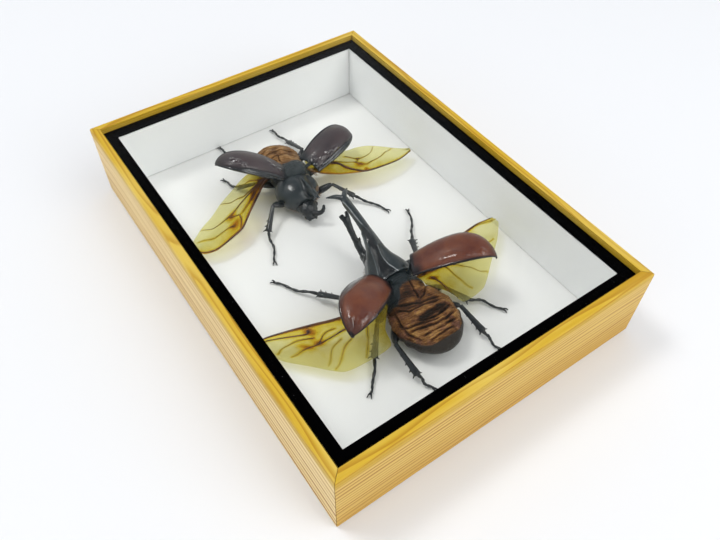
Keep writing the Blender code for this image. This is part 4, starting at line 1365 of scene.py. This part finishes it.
# legs: root, knee, ankle, foot and toe
legs = {
    "large_beetle": {
        "front_leg_left": (
            (-7.0, 8.4, 4.6), (-17.3, 5.4, 7.6), (-23.6, 16.6, 3.5), (-28.3, 24.3, 1.4), (-33.2, 32.2, 0.8),
        ),
        "front_leg_right": (
            (7.0, 8.4, 4.6), (14.8, 6.4, 7.8), (21.0, 18.0, 4.0), (27.0, 25.1, 2.0), (31.2, 33.6, 0.8),
        ),
        "middle_leg_left": (
            (-6.5, -3.0, 3.6), (-14.6, -8.2, 6.8), (-22.3, -17.4, 2.5), (-27.1, -24.2, 1.2),
            (-30.6, -27.0, 0.8),
        ),
        "middle_leg_right": (
            (6.5, -3.0, 3.6), (15.2, -8.4, 6.2), (20.8, -16.7, 3.0), (26.0, -19.7, 1.5), (29.8, -26.1, 0.8),
        ),
        "hind_leg_left": (
            (-7.5, -10.0, 3.0), (-14.6, -18.6, 7.0), (-14.1, -31.4, 3.0), (-13.2, -34.6, 1.6),
            (-12.0, -37.6, 0.8),
        ),
        "hind_leg_right": (
            (7.5, -10.0, 3.0), (14.6, -18.6, 6.6), (16.2, -30.4, 2.8), (16.3, -33.4, 1.7),
            (16.8, -37.6, 0.8),
        ),
    },
    "small_beetle": {
        "front_leg_left": (
            (-5.6, 9.6, 4.2), (-13.2, 11.2, 8.0), (-20.7, 17.0, 3.0), (-25.9, 22.3, 1.4),
            (-29.9, 28.4, 0.8),
        ),
        "front_leg_right": (
            (6.6, 9.6, 4.2), (13.2, 11.6, 7.6), (19.0, 20.0, 3.0), (20.0, 26.4, 1.4), (22.2, 33.8, 0.8),
        ),
        "middle_leg_left": (
            (-6.0, -2.6, 3.4), (-14.2, -2.8, 5.8), (-21.6, -10.2, 2.2), (-25.2, -14.6, 1.2),
            (-27.8, -17.6, 0.8),
        ),
        "middle_leg_right": (
            (6.0, -2.6, 3.4), (14.4, -5.4, 5.6), (20.8, -10.2, 1.8), (22.6, -14.0, 1.1), (24.4, -17.9, 0.8),
        ),
        "hind_leg_left": (
            (-5.4, -8.6, 3.0), (-11.4, -15.0, 7.0), (-9.2, -27.0, 3.0), (-8.0, -34.4, 1.4),
            (-6.8, -39.4, 0.8),
        ),
        "hind_leg_right": (
            (6.8, -8.6, 3.0), (14.0, -17.4, 6.4), (15.9, -27.6, 2.8), (17.6, -34.8, 1.4),
            (18.8, -38.5, 0.8),
        ),
    },
    "radius": {"large_beetle": 1.75, "small_beetle": 1.65},
    # share, radius
    "thigh": ((0.0, 0.62), (0.18, 0.85), (0.45, 1.0), (0.75, 0.86), (1.0, 0.46)),
    "shin": ((0.0, 0.50), (0.12, 0.50), (0.40, 0.58), (0.75, 0.68), (0.93, 0.78), (1.0, 0.56)),
    # share along the shin, side, size
    "teeth": (
        (0.34, 1, 0.60), (0.52, -1, 0.50), (0.58, 1, 0.78),
        (0.78, 1, 0.86), (0.95, 1, 0.98), (0.96, -1, 0.80),
    ),
    "tooth": ((0.2, -0.2, 0.34), (0.8, 0.15, 0.21), (1.35, 0.75, 0.09)),  # out, on, radius
    # on, out, up, radius
    "claw": (
        (-0.4, 0.06, 0.0, 0.28), (0.6, 0.42, 0.35, 0.24), (1.3, 0.66, 0.15, 0.19), (1.7, 0.80, -0.35, 0.12),
    ),
    "joints": 5,
    "wave": 0.5,  # how far a foot strays from a straight line
    "foot": (0.36, 0.24, 0.16),  # radius at the ankle and at the claws, share by which the joints swell
    "footSteps": 30,
    "voxel": 0.16,
    "ripples": ((0.05, 1.6), (0.02, 4.0)),
}


def addBone(bm, start, end, sizes, thick, flat, blunt):
    path = [(*start.lerp(end, share), radius * thick, radius * thick * flat) for share, radius in sizes]
    addTube(bm, path, 16, 26, blunt)


def addTeeth(bm, knee, ankle, sideways, thick):
    onward = (ankle - knee).normalized()
    for share, facing, size in legs["teeth"]:
        start = knee.lerp(ankle, share)
        tooth = []
        for out, on, radius in legs["tooth"]:
            place = start + sideways * facing * out * thick * size + onward * on * size
            tooth.append((*place, radius * thick * size, radius * thick * size))
        addTube(bm, tooth, 10, 12, 2.0)


def addFoot(bm, knee, ankle, foot, toe, sideways, thick):
    wide, narrow, swelling = legs["foot"]
    bones = (ankle.lerp(knee, 0.03), foot.lerp(ankle, 0.45), foot, foot.lerp(toe, 0.55), toe)
    path = []
    for step in range(legs["footSteps"] + 1):
        share = step / legs["footSteps"]
        beat = 0.5 - 0.5 * math.cos(2.0 * math.pi * legs["joints"] * share)
        radius = thick * (wide + (narrow - wide) * share) * (1.0 - swelling + swelling * 2.0 * beat)
        stray = legs["wave"] * math.sin(math.pi * 2.2 * share + knee.x) * fade(share, 0.0, 0.3)
        place = smoothPoint(bones, share) + sideways * stray * (1.0 - fade(share, 0.75, 1.0))
        path.append((*place, radius, radius))
    addTube(bm, path, 12, 70, 3.0)


def addClaws(bm, foot, toe, thick):
    ahead = (toe - foot).normalized()
    across = ahead.cross(upward).normalized()
    for facing in (-1, 1):
        claw = []
        for on, out, up, radius in legs["claw"]:
            place = toe + ahead * on + across * facing * out + Vector((0.0, 0.0, up))
            claw.append((*place, radius * thick * 0.75, radius * thick * 0.75))
        addTube(bm, claw, 10, 14, 2.0)


def addLeg(beetle, key):
    name = f"{beetle}_{key}"
    root, knee, ankle, foot, toe = (Vector(point) for point in legs[beetle][key])
    thick = legs["radius"][beetle]
    sideways = (ankle - knee).normalized().cross(upward).normalized()
    bm = bmesh.new()
    addBone(bm, root, knee, legs["thigh"], thick, 0.8, 2.0)
    addBone(bm, knee, ankle, legs["shin"], thick, 0.72, 2.2)
    addTeeth(bm, knee, ankle, sideways, thick)
    addFoot(bm, knee, ankle, foot, toe, sideways, thick)
    addClaws(bm, foot, toe, thick)
    mesh = fuse(bm, name, legs["voxel"], 2, 0.4)
    carve(mesh, lambda point, normal: ripples(point, legs["ripples"]))
    addPiece(name + "_skin", mesh, beetle, blackShell, "black_cuticle", name)


for beetle in beetles:
    for key in legs[beetle]:
        addLeg(beetle, key)
print("legs made")

# hair fringes: lines of roots, the way the hairs lean, their length, how many
fringes = {
    "large_beetle": (
        ((-9.6, -7.4, 8.6), (-10.8, -12.0, 7.8), (-0.9, -0.3, 0.5), 2.4, 46),
        ((9.0, -5.6, 9.4), (11.2, -11.0, 8.0), (0.9, -0.4, 0.5), 2.0, 40),
        ((-4.8, 13.6, 3.6), (-2.6, 16.2, 4.4), (-0.5, 0.5, -0.3), 0.9, 20),
        ((3.2, 16.2, 4.4), (5.4, 13.6, 3.6), (0.5, 0.5, -0.3), 0.9, 20),
    ),
    "small_beetle": (
        ((-3.6, 14.8, 10.0), (-6.4, 11.4, 9.6), (-0.7, 0.4, 0.3), 1.6, 70),
        ((-3.4, 16.0, 7.6), (-6.8, 12.6, 6.4), (-0.7, 0.5, 0.0), 1.6, 60),
        ((-6.4, 3.2, 12.4), (-8.4, 6.6, 10.6), (-0.7, 0.0, 0.7), 1.5, 60),
        ((6.6, 13.8, 4.4), (2.6, 17.0, 4.2), (0.3, 0.7, -0.2), 1.3, 40),
    ),
    "radius": 0.06,
    "tipRadius": 0.012,
    "messy": (0.5, 0.9),  # how far roots stray, and how far the lean does
    "seed": 7,  # the strays would be new in each run without it
    "root": (0.14, 0.075, 0.045),
    "tip": (0.42, 0.30, 0.20),
}


def hairMaterial():
    material, tree, shader = newMaterial("bristle", 0.6, 0.3)
    cloud = greyRamp(tree, noiseAt(tree, objectPoint(tree), 0.9), 0.35, 0.65)
    wire(tree, shader, {"Base Color": mixColour(tree, cloud, fringes["root"], fringes["tip"])})
    return material


bristle = hairMaterial()


def addHairs(beetle):
    bm = bmesh.new()
    strayRoot, strayLean = fringes["messy"]
    for number, (start, end, lean, length, count) in enumerate(fringes[beetle]):
        for step in range(count):
            wobble = noise.noise_vector(Vector((step * 3.7, number * 11.3, 5.0)))
            root = Vector(start).lerp(Vector(end), step / (count - 1.0)) + wobble * strayRoot
            way = (Vector(lean).normalized() + wobble * strayLean).normalized()
            long = length * (0.7 + 0.6 * abs(wobble.z))
            turn = way.to_track_quat("Z", "Y").to_matrix().to_4x4()
            bmesh.ops.create_cone(
                bm, cap_ends=True, segments=4, radius1=fringes["radius"], radius2=fringes["tipRadius"],
                depth=long, matrix=Matrix.Translation(root + way * long * 0.4) @ turn,
            )
    addPiece(beetle + "_hairs", meshOf(bm, beetle + "_hairs"), beetle, bristle, "dried_abdomen")


noise.seed_set(fringes["seed"])
for beetle in beetles:
    addHairs(beetle)
print("hairs made")
